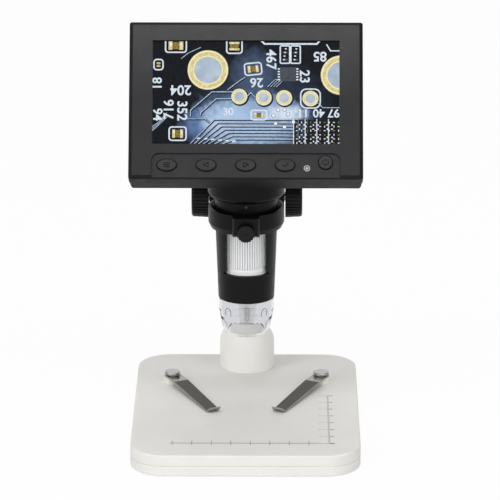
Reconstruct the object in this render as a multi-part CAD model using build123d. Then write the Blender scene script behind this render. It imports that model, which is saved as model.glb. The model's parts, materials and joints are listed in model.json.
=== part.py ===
from build123d import *
import math
import os

# Bench microscope with its own display, on a toothed pole and a flat base. Millimetres.
# Frame: origin on the table under the middle of the base, X to the user's right, Y away from the
# user, Z up. The screen housing has a frame of its own: x right, y up the screen, z out of it.

# ---------------------------------------------------------------- base
base_width = 118.0
base_depth = 153.5
base_corner = 18.0
base_top = 12.0               # height of the stage surface above the table
base_seam = 6.0               # height of the joint between tray and cover
base_wall = 2.2
base_floor = 1.8              # thickness of the tray's floor
base_skin = 2.4               # thickness of the cover's top
base_edge_round = 0.8
tray_edge_round = 1.0
seam_bevel = 0.35
lip_height = 1.4              # the tray's lip that enters the cover
lip_root = 1.0                # how far the lip starts under the seam
lip_play = 0.15
rib_thickness = 1.4
foot_radius = 6.0
foot_proud = 0.5              # how far the feet lift the tray off the table
foot_pocket = 0.6
foot_play = 0.1
foot_bevel = 0.2
foot_inset = 13.0             # from the base's sides to the feet's centres
base_screw_radius = 1.5
base_screw_head = 3.0
base_screw_seat = 2.0         # from the tray's underside to where the head bears
base_screw_end = 0.8          # from the screw's tip to the cover's underside
base_screw_pitch_y = 92.0
screw_post_radius = 5.0
screw_post_height = 2.0       # of the tray's posts above its floor
screw_boss_radius = 3.6
pilot_roof = 0.4              # left between a screw's pilot hole and the surface
ballast_thickness = 4.0
ballast_margin = 4.0          # from the tray's inner wall to the plate
ballast_rest = 0.8            # height of the tray's ribs under the plate
ballast_play = 0.2            # over the plate
ballast_hole_play = 0.6       # round the tray's posts

# ---------------------------------------------------------------- pole and its socket
pole_inset = 16.75            # from the base's back edge to the pole's axis
pole_radius = 5.0
pole_top = 178.0
socket_radius = 14.65
socket_height = 24.0
socket_shoulder = 10.0
socket_spigot = 9.0           # radius of the socket's plug in the cover
pole_screw_radius = 2.5
pole_screw_grip = 10.0        # length of screw in the pole
pole_screw_head = 4.5
pole_screw_head_height = 1.6
pole_screw_room = 1.0         # of the hole beyond the screw's end
pole_screw_hexagon = 2.0
pole_screw_web = 0.5          # metal under the hexagon
washer_radius = 6.0
washer_thickness = 0.8
washer_play = 1.0
pole_bevel = 0.5
pole_end_wall = 1.5
end_cap_head = 1.5            # height of the cap over the pole's end
end_cap_plug = 3.0
end_cap_round = 1.0

# ---------------------------------------------------------------- rack and pinion
module = 0.8
pinion_teeth = 17
pressure_angle = 20.0
dedendum = 1.25               # depth of the roots under the pitch line, in modules
rack_spare = 2.5              # pitches of rack beyond each end of the travel
rack_flat_depth = 0.9         # flat milled on the pole's front, along which the teeth stand
backlash = 0.12
pinion_width = 9.0
pinion_z = 110.8
shaft_radius = 2.5
lift_down = 30.0
lift_up = 40.0

# ---------------------------------------------------------------- stage clips
clip_inset_x = 19.2           # from the base's side to the pin
clip_inset_y = 44.05          # from the base's back edge to the pin
clip_post_radius = 5.0
clip_post_height = 3.2
clip_post_bevel = 0.4
clip_width = 8.3              # at the pin
clip_tip_width = 6.6
clip_tip_round = 1.0
clip_thickness = 0.8
clip_flat = 11.0              # from the pin to the first bend
clip_reach = 51.0             # from the pin to where the strip would touch the stage
clip_kick = 4.0               # length of the turned-up tip
clip_kick_angle = 38.0
clip_heading = 26.0           # turn of the strip from straight ahead towards the middle
clip_tip_gap = 0.3            # between the strip's lowest point and the stage
pin_stem_radius = 2.0
pin_collar_radius = 3.25
pin_collar_height = 0.6
pin_head_radius = 4.25
pin_head_height = 1.1
pin_head_round = 0.4

# ---------------------------------------------------------------- fits
running_gap = 0.05            # radial play of turning and sliding fits
plate_gap = 0.1               # play between flat faces of pieces that move
screw_play = 0.2              # round a screw's shank in its clearance hole
screw_head_play = 0.3
screw_head_sink = 0.3         # of a screw's head under the surface
cross_half = 0.35             # half width of a cross recess's arms
cross_share = 0.6             # length of the arms, as a share of the head's radius
cross_depth = 0.8
weld = 0.4                    # how far a feature runs into what carries it
cutter_reach = 1.0            # how far a cutter runs out of the solid

# ---------------------------------------------------------------- carriage
sleeve_low = 93.0
sleeve_high = 131.0
sleeve_radius = 9.5
bushing_wall = 1.5
bushing_length = 8.5
pinion_side_play = 0.8
pole_clearance = 0.4          # of the pinion's bushes round the pole
cross_tube_radius = 10.0
cross_tube_wall = 2.1
cross_tube_half = 19.8
throat = 55.0                 # from the pole's axis to the barrel's
ring_radius = 19.75
ring_low = 109.0
ring_height = 10.8
ring_bevel_height = 2.6       # of the taper round the ring's foot
ring_bevel_width = 1.2
ring_mouth = 2.2              # bevel at the ring's upper opening
arm_root = 1.0                # from the ring's bore to where the arm starts
arm_half_front = 12.0
arm_half_back = 9.5
clamp_z = 112.8
clamp_boss_half = 7.0
clamp_boss_reach = 24.6       # from the barrel's axis to the boss's face
clamp_boss_bevel = 3.6        # how far its underside slopes back
clamp_boss_rise = 1.6         # height of that slope
clamp_boss_round = 2.5
clamp_knob_radius = 4.6
clamp_knob_length = 3.8
clamp_knob_gap = 0.4
clamp_knob_ribs = 18
clamp_knob_rib_depth = 0.35
clamp_knob_bevel = 0.6
clamp_knob_web = 1.2          # thickness left in front of the stud
clamp_dimple_radius = 0.6
clamp_dimple_depth = 0.5
clamp_stud_radius = 2.0
clamp_stud_bevel = 0.5
brake_radius = 2.4
brake_boss_radius = 4.6
brake_boss_reach = 12.0       # from the pole's axis to the boss's end
brake_screw_length = 4.0
brake_slot_depth = 1.0
brake_slot_half = 0.4

# ---------------------------------------------------------------- side knobs
knob_radius = 11.2
knob_rim_radius = 10.8        # a little slimmer at the outer end
knob_length = 9.0
knob_gap = 0.6                # from the cross tube to the knob
knob_ribs = 36
knob_rib_depth = 0.7
knob_round = 1.4
knob_dish_radius = 7.6
knob_dish_depth = 0.8
knob_web = 2.0                # thickness left beyond the shaft's end
shaft_flat = 0.6              # depth of the flats that key the knobs

# ---------------------------------------------------------------- barrel
barrel_rim_z = 70.3
barrel_rim_radius = 14.6
barrel_waist_z = 107.0
barrel_waist_radius = 16.0
barrel_radius = 16.25
barrel_top = 138.0
window_half_width = 8.1       # of the opening's sides, carried on to the barrel's axis
window_flare = 12.0           # by which each side opens outwards
window_low = 85.3
window_high = 109.2
sill_height = 1.2             # of the wider slot along the window's foot
sill_round = 0.6
sill_reach = 1.6              # of that slot beyond the window's sides
wheel_low = 83.5
wheel_high = 111.4
wheel_radius = 12.5
wheel_bore = 9.05
wheel_ribs = 60
wheel_rib_depth = 0.5
wheel_band_height = 4.4       # of the smooth band at the foot, its flange included
wheel_rim_radius = 13.04
wheel_rim_height = 1.5
wheel_chamber_play = 0.06     # round the wheel's two flanges
wheel_ledge = 2.0             # thickness of the barrel's ledge under the wheel
wheel_end_gap = 0.15
ledge_bore = 9.6
board_ledge = 0.6             # of the barrel over the edge of the lamp board
holder_radius = 13.9
holder_wall = 1.3
holder_flange = 2.0
holder_height = 14.4
sensor_seat = 7.9             # height of the camera board over the flange's foot
guide_radius = 7.4
guide_bore = 6.2
guide_low = 88.0
key_width = 1.6
key_depth = 0.6
key_play = 0.15
key_rise = 2.0                # from the lens's top to the keys' foot
carrier_low = 74.0
carrier_high = 100.0
carrier_neck = 84.0           # where the carrier's slimmer nose starts
nose_radius = 8.2
lens_radius = 5.6
lens_thickness = 4.0
lens_lip = 1.0                # of the carrier under the lens
lens_bulge = 0.9
stop_radius = 4.0
stop_thickness = 1.5
sensor_half = 4.3
sensor_thickness = 1.2
board_thickness = 1.2
led_board_z = 73.4
led_board_bore = 8.8
led_count = 8
led_ring_radius = 10.2
led_size = 2.2
led_lens_radius = 0.9
led_height = 1.5
mark_z = 123.4                # height of the small screws round the barrel
mark_screws = 3
mark_radius = 0.5
mark_head_radius = 0.8
mark_head_sink = 0.2          # of the heads under the barrel's surface
mark_head_depth = 0.6         # from the surface to where the heads bear
mark_bite = 0.9               # of the screws in the sensor holder

# ---------------------------------------------------------------- clear nose cap
cap_bottom = 51.0
cap_spigot_radius = 12.85
cap_spigot_bore = 11.6
cap_shoulder_z = 63.5
cap_shoulder_radius = 14.25
cap_step_z = 58.6
cap_step_radius = 13.5
cap_step = 0.35
cap_rim_step = 0.3            # of the cap inside the barrel's rim
cap_mouth_radius = 11.0
cap_mouth_bore = 10.0
cap_mouth_height = 1.2
cap_wall = 1.2
cap_foot_wall = 1.5           # where the bell curves in towards the mouth
cap_root = 1.5                # height of the thicker root under the barrel
cap_curve = 12.0              # radius of the bell's curve towards the mouth

# ---------------------------------------------------------------- screen housing
screen_tilt = 30.0
screen_overhang = 21.0        # picture's centre in front of the barrel's axis
screen_z = 186.5
head_side_border = 6.75       # from the display's edge to the housing's side
head_top_border = 10.17       # from the picture to the housing's top
head_bottom_border = 18.25    # and to its bottom
head_corner = 1.2
bezel_depth = 11.0
head_depth = 25.0
head_wall = 2.2
face_thickness = 2.4
face_bevel = 1.75
face_corner = 0.4             # of the flat inside that bevel
rear_inset = 0.5              # how far the back narrows on each side
rear_start_inset = 0.2
rear_round = 1.2
seam_gap = 0.3
lip_thickness = 1.2           # of the face over the display's edges
picture_width = 95.04
picture_height = 53.86
picture_play = 0.2
lcd_side_border = 5.23        # of the display's metal frame round the picture
lcd_top_border = 7.67
lcd_bottom_border = 4.87
lcd_depth = 3.0
lcd_play = 0.1
glass_thickness = 1.1
glass_margin = 2.5
collar_radius = 20.0
collar_bottom = 125.4
collar_round = 3.2            # of the curve in which it narrows underneath
hump_back_z = 156.0           # where the roof meets the hump's back
roof_slope = 30.0
hump_round = 2.5
hump_bore = 17.0
hump_floor = 3.0              # of the housing over the barrel's top
hump_roof = 3.1               # thickness of the hump's sloping roof, measured upright
barrel_stop = 1.6             # ledge that stops the barrel in the collar
head_screw_inset = 4.9        # from the housing's sides to the screws
head_screw_inset_end = 6.15   # from its top and bottom
head_post_radius = 2.2
head_screw_radius = 1.2
head_screw_head = 2.3
head_screw_head_height = 1.0
head_screw_seat = 1.4         # from the housing's back to where the heads bear
head_screw_end = 2.0          # from the screws' tips to the face's inside
main_board_z = -12.0
main_board_thickness = 1.6
main_board_inset = 3.2
main_board_inset_top = 8.1
main_board_inset_bottom = 14.2
battery_width = 62.0
battery_height = 32.0
battery_thickness = 6.0
battery_corner = 2.5
battery_y = 16.5

# ---------------------------------------------------------------- buttons and sockets
key_panel_inset = 11.6        # from the housing's sides to the recessed panel
key_panel_height = 13.2       # from the housing's bottom to the panel's top
key_panel_depth = 1.0
key_panel_corner = 4.0
button_row_height = 7.1       # of the row's centres above the housing's bottom
button_pitch = 20.0
button_half_width = 5.0
button_half_height = 3.05
button_play = 0.3
button_proud = 0.3            # above the screen housing's face
button_clearance = 0.2        # behind the pressed ears
button_flange = 1.1           # how far the ears under the face reach past the cap
button_ear_half = 2.4
button_flange_thickness = 0.8
button_travel = 0.6
button_round = 0.6
power_x = 40.4
power_height = 8.6            # above the housing's bottom
power_radius = 3.55
indicator_x = 31.0
indicator_height = 5.6        # above the housing's bottom
indicator_radius = 1.65
indicator_tail = 2.0          # of the light guide behind the face
stem_radius = 1.2
stem_length = 1.4
switch_size = 4.5
switch_height = 2.2
plunger_radius = 1.2
plunger_height = 0.8
key_board_length = 94.0
key_board_height = 7.2
key_board_thickness = 1.0
key_board_rise = 0.9          # of its middle over the row of buttons
key_post_radius = 1.7
usb_y = 12.0
usb_width = 7.6
usb_height = 2.9
usb_depth = 5.4
card_y = -12.0
card_width = 14.0
card_height = 1.9
card_depth = 15.0
socket_recess = 0.4           # from the housing's side to the sockets' mouths
socket_wall = 0.4
usb_back_wall = 1.0
usb_tongue_inset = 0.8        # of the tongue from the socket's two ends
usb_tongue_half = 0.3
card_back_wall = 2.0
card_side_wall = 1.0
connector_y = -20.0
connector_width = 12.0
connector_height = 4.0
connector_depth = 2.2
flex_width = 8.0
flex_thickness = 0.3
flex_offset = 2.0             # of its foot in front of the barrel's axis
flex_rise = 6.0               # of its upright run over the barrel's top
flex_run = 6.0                # of its straight run into the socket
flex_bend = 2.5
socket_play = 0.3             # of the sockets in the housing's openings

# ---------------------------------------------------------------- worked-out values
tray_bottom = foot_proud
tray_floor_top = tray_bottom + base_floor
cover_under = base_top - base_skin
ballast_low = tray_floor_top + ballast_rest
ballast_high = ballast_low + ballast_thickness
post_top = tray_floor_top + screw_post_height
foot_x = base_width / 2 - foot_inset
foot_y = base_depth / 2 - foot_inset
base_screws_at = [(sx * foot_x, sy * base_screw_pitch_y / 2) for sx in (-1, 1) for sy in (-1, 1)]
feet_at = [(sx * foot_x, sy * foot_y) for sx in (-1, 1) for sy in (-1, 1)]
base_screw_seat_z = tray_bottom + base_screw_seat
pole_y = base_depth / 2 - pole_inset
clip_pin_x = base_width / 2 - clip_inset_x
clip_pin_y = base_depth / 2 - clip_inset_y
barrel_y = pole_y - throat
clamp_boss_face = barrel_y - clamp_boss_reach
ring_high = ring_low + ring_height
brake_boss_end = pole_y + brake_boss_reach

tooth_pitch = math.pi * module
pinion_radius = module * pinion_teeth / 2
rack_tip_y = pole_y - pole_radius + rack_flat_depth
rack_pitch_y = rack_tip_y + module
pinion_y = rack_pitch_y - pinion_radius
cross_bore = cross_tube_radius - cross_tube_wall
bushing_radius = pole_radius + running_gap + bushing_wall

knob_start = cross_tube_half + knob_gap
shaft_half = knob_start + knob_length - knob_web
ring_bore = barrel_radius + running_gap

clip_sheet_low = base_top + clip_post_height + plate_gap
clip_sheet_high = clip_sheet_low + clip_thickness

rim_height = wheel_low - wheel_end_gap
wheel_chamber = wheel_rim_radius + wheel_chamber_play
holder_low = wheel_high + wheel_end_gap
mouth_step = cap_spigot_radius + running_gap
holder_high = holder_low + holder_height
holder_bore = holder_radius - holder_wall
sensor_board_z = holder_low + sensor_seat
lens_low = carrier_low + lens_lip
lens_top = lens_low + lens_thickness

lcd_width = picture_width + 2 * lcd_side_border
lcd_height = picture_height + lcd_top_border + lcd_bottom_border
lcd_centre_y = (lcd_top_border - lcd_bottom_border) / 2
head_width = lcd_width + 2 * head_side_border
head_above = picture_height / 2 + head_top_border
head_below = picture_height / 2 + head_bottom_border
head_centre_y = (head_above - head_below) / 2
head_height = head_above + head_below
tilt = math.radians(screen_tilt)
screen_y = barrel_y - screen_overhang
head_place = Location(Plane(origin=(0, screen_y, screen_z), x_dir=(1, 0, 0),
                            z_dir=(0, -math.cos(tilt), math.sin(tilt))))
head_screw_x = head_width / 2 - head_screw_inset
head_screws_at = [(sx * head_screw_x, y) for sx in (-1, 1)
                  for y in (head_above - head_screw_inset_end, head_screw_inset_end - head_below)]

key_panel_top = key_panel_height - head_below
button_row_y = button_row_height - head_below
button_xs = [(i - 2) * button_pitch for i in range(4)]
power_y = power_height - head_below
indicator_y = indicator_height - head_below
key_posts_at = [(button_xs[i] + button_pitch / 2, button_row_y) for i in range(3)]
key_board_z = -(face_thickness + plate_gap + button_flange_thickness + stem_length
                + button_travel + plate_gap + plunger_height + switch_height)

STANDING = (Align.CENTER, Align.CENTER, Align.MIN)


# ---------------------------------------------------------------- small helpers
def rod(radius, low, high, x=0.0, y=0.0):
    """Cylinder along Z from low to high."""
    return Pos(x, y, low) * Cylinder(radius, high - low, align=STANDING)


def tube(outer, inner, low, high, x=0.0, y=0.0):
    """Hollow cylinder along Z."""
    return rod(outer, low, high, x, y) - rod(inner, low, high, x, y)


def rod_x(radius, left, right, y, z):
    """Cylinder along X from left to right."""
    return Pos(left, y, z) * Rot(0, 90, 0) * Cylinder(radius, right - left, align=STANDING)


def rod_y(radius, front, back, x, z):
    """Cylinder along Y from front to back."""
    return Pos(x, back, z) * Rot(90, 0, 0) * Cylinder(radius, back - front, align=STANDING)


def block(x0, x1, y0, y1, z0, z1):
    """Box between two corners."""
    return Pos((x0 + x1) / 2, (y0 + y1) / 2, (z0 + z1) / 2) * Box(x1 - x0, y1 - y0, z1 - z0)


def plate(outline, low, high, x=0.0, y=0.0):
    """Flat outline raised from low to high."""
    return Pos(x, y, low) * extrude(outline, amount=high - low)


def turned(points, x=0.0, y=0.0):
    """Solid of revolution about an upright axis, from (radius, height) points."""
    profile = make_face(Plane.XZ * Polyline(*points, close=True))
    return Pos(x, y, 0) * revolve(profile, axis=Axis.Z)


def joined(pieces):
    """Union of a list of solids."""
    pieces = list(pieces)
    return pieces[0].fuse(*pieces[1:]) if len(pieces) > 1 else pieces[0]


def group(pieces):
    """Separate solids kept together as one node."""
    return Compound(children=[solid for piece in pieces for solid in piece.solids()])


def polar(radius, degrees):
    angle = math.radians(degrees)
    return (radius * math.cos(angle), radius * math.sin(angle))


def cross_recess(head_radius, low, high, x, y):
    """Cross-shaped driver recess in a screw's head."""
    arm = head_radius * cross_share
    return joined([block(x - arm, x + arm, y - cross_half, y + cross_half, low, high),
                   block(x - cross_half, x + cross_half, y - arm, y + arm, low, high)])


def ribbed_face(radius, depth, count, crest=0.45, flank=0.12):
    """Disc with equal ribs round its rim; crest and flank are shares of one pitch."""
    pitch = 360 / count
    points = []
    for i in range(count):
        start = (i - crest / 2) * pitch
        points.append(polar(radius, start))
        points.append(polar(radius, start + crest * pitch))
        points.append(polar(radius - depth, start + (crest + flank) * pitch))
        points.append(polar(radius - depth, start + (1 - flank) * pitch))
    return make_face(Polyline(*points, close=True))


def save(name, shape):
    """Write one sub-part."""
    export_step(shape, "parts/" + name + ".step")


# ---------------------------------------------------------------- base
def base_outline(inset):
    return RectangleRounded(base_width - 2 * inset, base_depth - 2 * inset, base_corner - inset)


def base_bottom_plate():
    tray = plate(base_outline(0), tray_bottom, base_seam)
    tray = fillet(tray.faces().sort_by(Axis.Z)[0].edges(), tray_edge_round)
    tray = chamfer(tray.faces().sort_by(Axis.Z)[-1].edges(), seam_bevel)
    tray -= plate(base_outline(base_wall), tray_floor_top, base_seam)
    lip_inset = base_wall / 2 + lip_play
    tray += (plate(base_outline(lip_inset), base_seam - lip_root, base_seam + lip_height)
             - plate(base_outline(base_wall), base_seam - lip_root, base_seam + lip_height))
    rib_length = base_depth - 2 * base_wall
    for x in (-foot_x / 2, 0, foot_x / 2):
        tray += block(x - rib_thickness / 2, x + rib_thickness / 2, -rib_length / 2, rib_length / 2,
                      tray_floor_top - weld, ballast_low)
    for x, y in base_screws_at:
        tray += rod(screw_post_radius, tray_floor_top - weld, post_top, x, y)
    for x, y in base_screws_at:
        tray -= rod(base_screw_radius + screw_play, tray_bottom, post_top, x, y)
        tray -= rod(base_screw_head + screw_head_play, tray_bottom, base_screw_seat_z, x, y)
    for x, y in feet_at:
        tray -= rod(foot_radius, tray_bottom, tray_bottom + foot_pocket, x, y)
    return tray - rod(washer_radius + washer_play, tray_bottom, ballast_low, 0, pole_y)


def base_top_cover():
    cover = plate(base_outline(0), base_seam, base_top)
    cover = fillet(cover.faces().sort_by(Axis.Z)[-1].edges(), base_edge_round)
    cover = chamfer(cover.faces().sort_by(Axis.Z)[0].edges(), seam_bevel)
    cover -= plate(base_outline(base_wall), base_seam, cover_under)
    cover -= plate(base_outline(base_wall / 2), base_seam, base_seam + lip_height + lip_play)
    rib_low = ballast_high + ballast_play
    half_x = base_width / 2 - base_wall - ballast_margin
    half_y = base_depth / 2 - base_wall - ballast_margin
    for share in (-0.5, 0, 0.5):
        cover += block(share * half_x - rib_thickness / 2, share * half_x + rib_thickness / 2,
                       -half_y, half_y, rib_low, cover_under + weld)
        cover += block(-half_x, half_x, share * half_y - rib_thickness / 2,
                       share * half_y + rib_thickness / 2, rib_low, cover_under + weld)
    cover -= rod(washer_radius + screw_boss_radius, rib_low, cover_under, 0, pole_y)
    for x, y in base_screws_at:
        cover += rod(screw_boss_radius, post_top, cover_under + weld, x, y)
    for x, y in base_screws_at:
        cover -= rod(base_screw_radius, post_top, cover_under - pilot_roof, x, y)
    for side in (-1, 1):
        post = rod(clip_post_radius, base_top - weld, base_top + clip_post_height,
                   side * clip_pin_x, clip_pin_y)
        cover += chamfer(post.faces().sort_by(Axis.Z)[-1].edges(), clip_post_bevel)
    for side in (-1, 1):
        cover -= rod(pin_stem_radius + running_gap, rib_low, base_top + clip_post_height,
                     side * clip_pin_x, clip_pin_y)
    return cover - rod(socket_spigot + running_gap, rib_low, base_top, 0, pole_y)


def ballast_plate():
    inset = base_wall + ballast_margin
    steel = plate(base_outline(inset), ballast_low, ballast_high)
    for x, y in base_screws_at:
        steel -= rod(screw_post_radius + ballast_hole_play, ballast_low, ballast_high, x, y)
    return steel - rod(pole_screw_radius + screw_play, ballast_low, ballast_high, 0, pole_y)


def rubber_feet():
    feet = []
    for x, y in feet_at:
        foot = rod(foot_radius - foot_play, 0, tray_bottom + foot_pocket, x, y)
        feet.append(chamfer(foot.faces().sort_by(Axis.Z)[0].edges(), foot_bevel))
    return group(feet)


def base_screws():
    low = tray_bottom + screw_head_sink
    screws = []
    for x, y in base_screws_at:
        screw = rod(base_screw_head, low, base_screw_seat_z, x, y)
        screw += rod(base_screw_radius - running_gap, low, cover_under - base_screw_end, x, y)
        screws.append(screw - cross_recess(base_screw_head, low, low + cross_depth, x, y))
    return group(screws)


# ---------------------------------------------------------------- pole
def pole_socket():
    top = base_top + socket_height
    shoulder_z = top - socket_shoulder
    rise = Line((socket_radius, base_top), (socket_radius, shoulder_z))
    curve = RadiusArc((socket_radius, shoulder_z), (socket_radius - socket_shoulder, top), -socket_shoulder)
    crown = Line((socket_radius - socket_shoulder, top), (0, top))
    back = Polyline((0, top), (0, base_top), (socket_radius, base_top))
    dome = revolve(make_face(Plane.XZ * (rise + curve + crown + back)), axis=Axis.Z)
    dome = Pos(0, pole_y, 0) * dome
    dome += rod(socket_spigot, cover_under, base_top + weld, 0, pole_y)
    return dome - rod(pole_radius + running_gap, cover_under, top, 0, pole_y)


def rack_cutter():
    """Front of the pole that the mill takes away: a flat with the gaps between the teeth."""
    slope = math.tan(math.radians(pressure_angle))
    tip_half = tooth_pitch / 4 + module * slope
    root_half = tooth_pitch / 4 - dedendum * module * slope
    root_y = rack_pitch_y + dedendum * module
    clear_y = pole_y - pole_radius - cutter_reach
    first = -math.ceil(lift_down / tooth_pitch + rack_spare)
    last = math.ceil(lift_up / tooth_pitch + rack_spare)
    low = pinion_z + (first - 0.5) * tooth_pitch
    high = pinion_z + (last + 0.5) * tooth_pitch
    points = [(clear_y, low), (rack_tip_y, low)]
    for i in range(first, last + 1):
        z = pinion_z + i * tooth_pitch
        points += [(rack_tip_y, z - tip_half), (root_y, z - root_half),
                   (root_y, z + root_half), (rack_tip_y, z + tip_half)]
    points += [(rack_tip_y, high), (clear_y, high)]
    face = make_face(Plane.YZ * Polyline(*points, close=True))
    return Pos(-pole_radius, 0, 0) * extrude(face, amount=2 * pole_radius)


def pole():
    bar = rod(pole_radius, ballast_high, pole_top, 0, pole_y)
    bar = chamfer(bar.faces().sort_by(Axis.Z)[-1].edges(), pole_bevel)
    bar -= rack_cutter()
    hole_top = ballast_high + pole_screw_grip + pole_screw_room
    bar -= rod(pole_screw_radius + running_gap, ballast_high, hole_top, 0, pole_y)
    return bar - rod(pole_radius - pole_end_wall, pole_top - 2 * end_cap_plug, pole_top, 0, pole_y)


def pole_end_cap():
    cap = rod(pole_radius, pole_top, pole_top + end_cap_head, 0, pole_y)
    cap = fillet(cap.faces().sort_by(Axis.Z)[-1].edges(), end_cap_round)
    return cap + rod(pole_radius - pole_end_wall - running_gap, pole_top - end_cap_plug, pole_top, 0, pole_y)


def pole_washer():
    return tube(washer_radius, pole_screw_radius + screw_play, ballast_low - washer_thickness,
                ballast_low, 0, pole_y)


def pole_screw():
    seat = ballast_low - washer_thickness
    head = rod(pole_screw_head, seat - pole_screw_head_height, seat, 0, pole_y)
    hexagon = RegularPolygon(pole_screw_hexagon, 6)
    head -= plate(hexagon, seat - pole_screw_head_height, seat - pole_screw_web, 0, pole_y)
    return head + rod(pole_screw_radius, seat - pole_screw_web, ballast_high + pole_screw_grip, 0, pole_y)


# ---------------------------------------------------------------- stage clips
def clip_pin(side):
    x = side * clip_pin_x
    collar_low = clip_sheet_high + plate_gap
    collar_high = collar_low + pin_collar_height
    pin = rod(pin_stem_radius, cover_under, collar_low, x, clip_pin_y)
    pin += rod(pin_collar_radius, collar_low, collar_high, x, clip_pin_y)
    head = rod(pin_head_radius, collar_high, collar_high + pin_head_height, x, clip_pin_y)
    return pin + fillet(head.faces().sort_by(Axis.Z)[-1].edges(), pin_head_round)


def clip_plan(tip):
    """The strip from above: round behind the pin and narrower towards its tip."""
    half, tip_half = clip_width / 2, clip_tip_width / 2
    blade = make_face(Polyline((0, -half), (tip, -tip_half), (tip, tip_half), (0, half), close=True))
    blade = fillet(blade.vertices().sort_by(Axis.X)[-2:], clip_tip_round)
    return blade + Circle(half)


def clip(side):
    """Sprung strip: flat at the pin, bent down to the stage, turned up at the tip."""
    fall_low = base_top + clip_tip_gap
    tip = clip_reach + clip_kick * math.cos(math.radians(clip_kick_angle))
    kick_rise = clip_kick * math.sin(math.radians(clip_kick_angle))
    under = [(-clip_width / 2, clip_sheet_low), (clip_flat, clip_sheet_low), (clip_reach, fall_low),
             (tip, fall_low + kick_rise)]
    over = [(u, z + clip_thickness) for u, z in reversed(under)]
    side_view = make_face(Plane.XZ * Polyline(*under, *over, close=True))
    strip = Pos(0, clip_width / 2, 0) * extrude(side_view, amount=clip_width)
    tall = clip_sheet_high + kick_rise
    strip &= plate(clip_plan(tip), fall_low - cutter_reach, tall + cutter_reach)
    strip -= rod(pin_stem_radius + running_gap, fall_low, tall)
    return Pos(side * clip_pin_x, clip_pin_y, 0) * Rot(0, 0, -90 - side * clip_heading) * strip


# ---------------------------------------------------------------- carriage
def clamp_boss():
    """Block at the ring's front for the thumbscrew, sloping back underneath."""
    back = barrel_y - barrel_radius
    side_view = make_face(Plane.YZ * Polyline(
        (clamp_boss_face, ring_high), (clamp_boss_face, ring_low + clamp_boss_rise),
        (clamp_boss_face + clamp_boss_bevel, ring_low), (back, ring_low), (back, ring_high), close=True))
    boss = Pos(-clamp_boss_half, 0, 0) * extrude(side_view, amount=2 * clamp_boss_half)
    return fillet(boss.edges().filter_by(Axis.Z).sort_by(Axis.Y)[:2], clamp_boss_round)


def barrel_ring():
    low_radius = ring_radius - ring_bevel_width
    ring = turned([(0, ring_low), (low_radius, ring_low), (ring_radius, ring_low + ring_bevel_height),
                   (ring_radius, ring_high), (0, ring_high)], 0, barrel_y)
    return ring + clamp_boss()


def carriage_housing():
    body = barrel_ring()
    arm_front = barrel_y + ring_bore + arm_root
    arm = make_face(Polyline((-arm_half_front, arm_front), (-arm_half_back, pinion_y),
                             (arm_half_back, pinion_y), (arm_half_front, arm_front), close=True))
    body += plate(arm, ring_low, ring_high)
    body += rod_x(cross_tube_radius, -cross_tube_half, cross_tube_half, pinion_y, pinion_z)
    body += rod(sleeve_radius, sleeve_low, sleeve_high, 0, pole_y)
    body += block(-sleeve_radius, sleeve_radius, pinion_y, pole_y,
                  pinion_z - cross_tube_radius, pinion_z + cross_tube_radius)
    body += rod_y(brake_boss_radius, pole_y, brake_boss_end, 0, pinion_z)
    body -= rod_x(cross_bore, -cross_tube_half, cross_tube_half, pinion_y, pinion_z)
    body -= rod(bushing_radius, sleeve_low, sleeve_high, 0, pole_y)
    body -= rod_y(brake_radius + running_gap, pole_y, brake_boss_end, 0, pinion_z)
    body -= rod(ring_bore, ring_low, ring_high, 0, barrel_y)
    body -= turned([(0, ring_high - ring_mouth), (ring_bore, ring_high - ring_mouth),
                    (ring_bore + ring_mouth, ring_high), (0, ring_high)], 0, barrel_y)
    return body - rod_y(clamp_stud_radius + running_gap, clamp_boss_face, barrel_y, 0, clamp_z)


def pole_bushings():
    bore = pole_radius + running_gap
    return group([tube(bushing_radius, bore, sleeve_low, sleeve_low + bushing_length, 0, pole_y),
                  tube(bushing_radius, bore, sleeve_high - bushing_length, sleeve_high, 0, pole_y)])


def pinion_bushes():
    inner = pinion_width / 2 + pinion_side_play
    bush = (rod_x(cross_bore, inner, cross_tube_half, pinion_y, pinion_z)
            - rod_x(shaft_radius + running_gap, inner, cross_tube_half, pinion_y, pinion_z))
    bush -= rod(pole_radius + pole_clearance, pinion_z - cross_bore, pinion_z + cross_bore, 0, pole_y)
    return group([bush, mirror(bush, about=Plane.YZ)])


def brake_pad():
    pad = rod_y(brake_radius, pole_y, brake_boss_end - brake_screw_length, 0, pinion_z)
    return pad - rod(pole_radius + running_gap, pinion_z - brake_radius, pinion_z + brake_radius, 0, pole_y)


def brake_screw():
    screw = rod_y(brake_radius, brake_boss_end - brake_screw_length, brake_boss_end, 0, pinion_z)
    slot = block(-brake_radius, brake_radius, brake_boss_end - brake_slot_depth, brake_boss_end,
                 pinion_z - brake_slot_half, pinion_z + brake_slot_half)
    return screw - slot


# ---------------------------------------------------------------- pinion and side knobs
def involute(angle):
    return math.tan(angle) - angle


def pinion_face():
    """Involute teeth; one tooth points along local x, at the rack."""
    pressure = math.radians(pressure_angle)
    base_radius = pinion_radius * math.cos(pressure)
    root_radius = pinion_radius - dedendum * module
    tip_radius = pinion_radius + module
    half_tooth = (tooth_pitch / 2 - backlash) / (2 * pinion_radius)
    radii = [base_radius + (tip_radius - base_radius) * share for share in (0, 0.15, 0.4, 0.7, 1)]
    flank = [(root_radius, half_tooth + involute(pressure))]
    flank += [(r, half_tooth + involute(pressure) - involute(math.acos(base_radius / r))) for r in radii]
    points = []
    for i in range(pinion_teeth):
        middle = 2 * math.pi * i / pinion_teeth
        sides = [(r, middle - a) for r, a in flank] + [(r, middle + a) for r, a in reversed(flank)]
        points += [polar(r, math.degrees(a)) for r, a in sides]
    return make_face(Polyline(*points, close=True))


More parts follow.
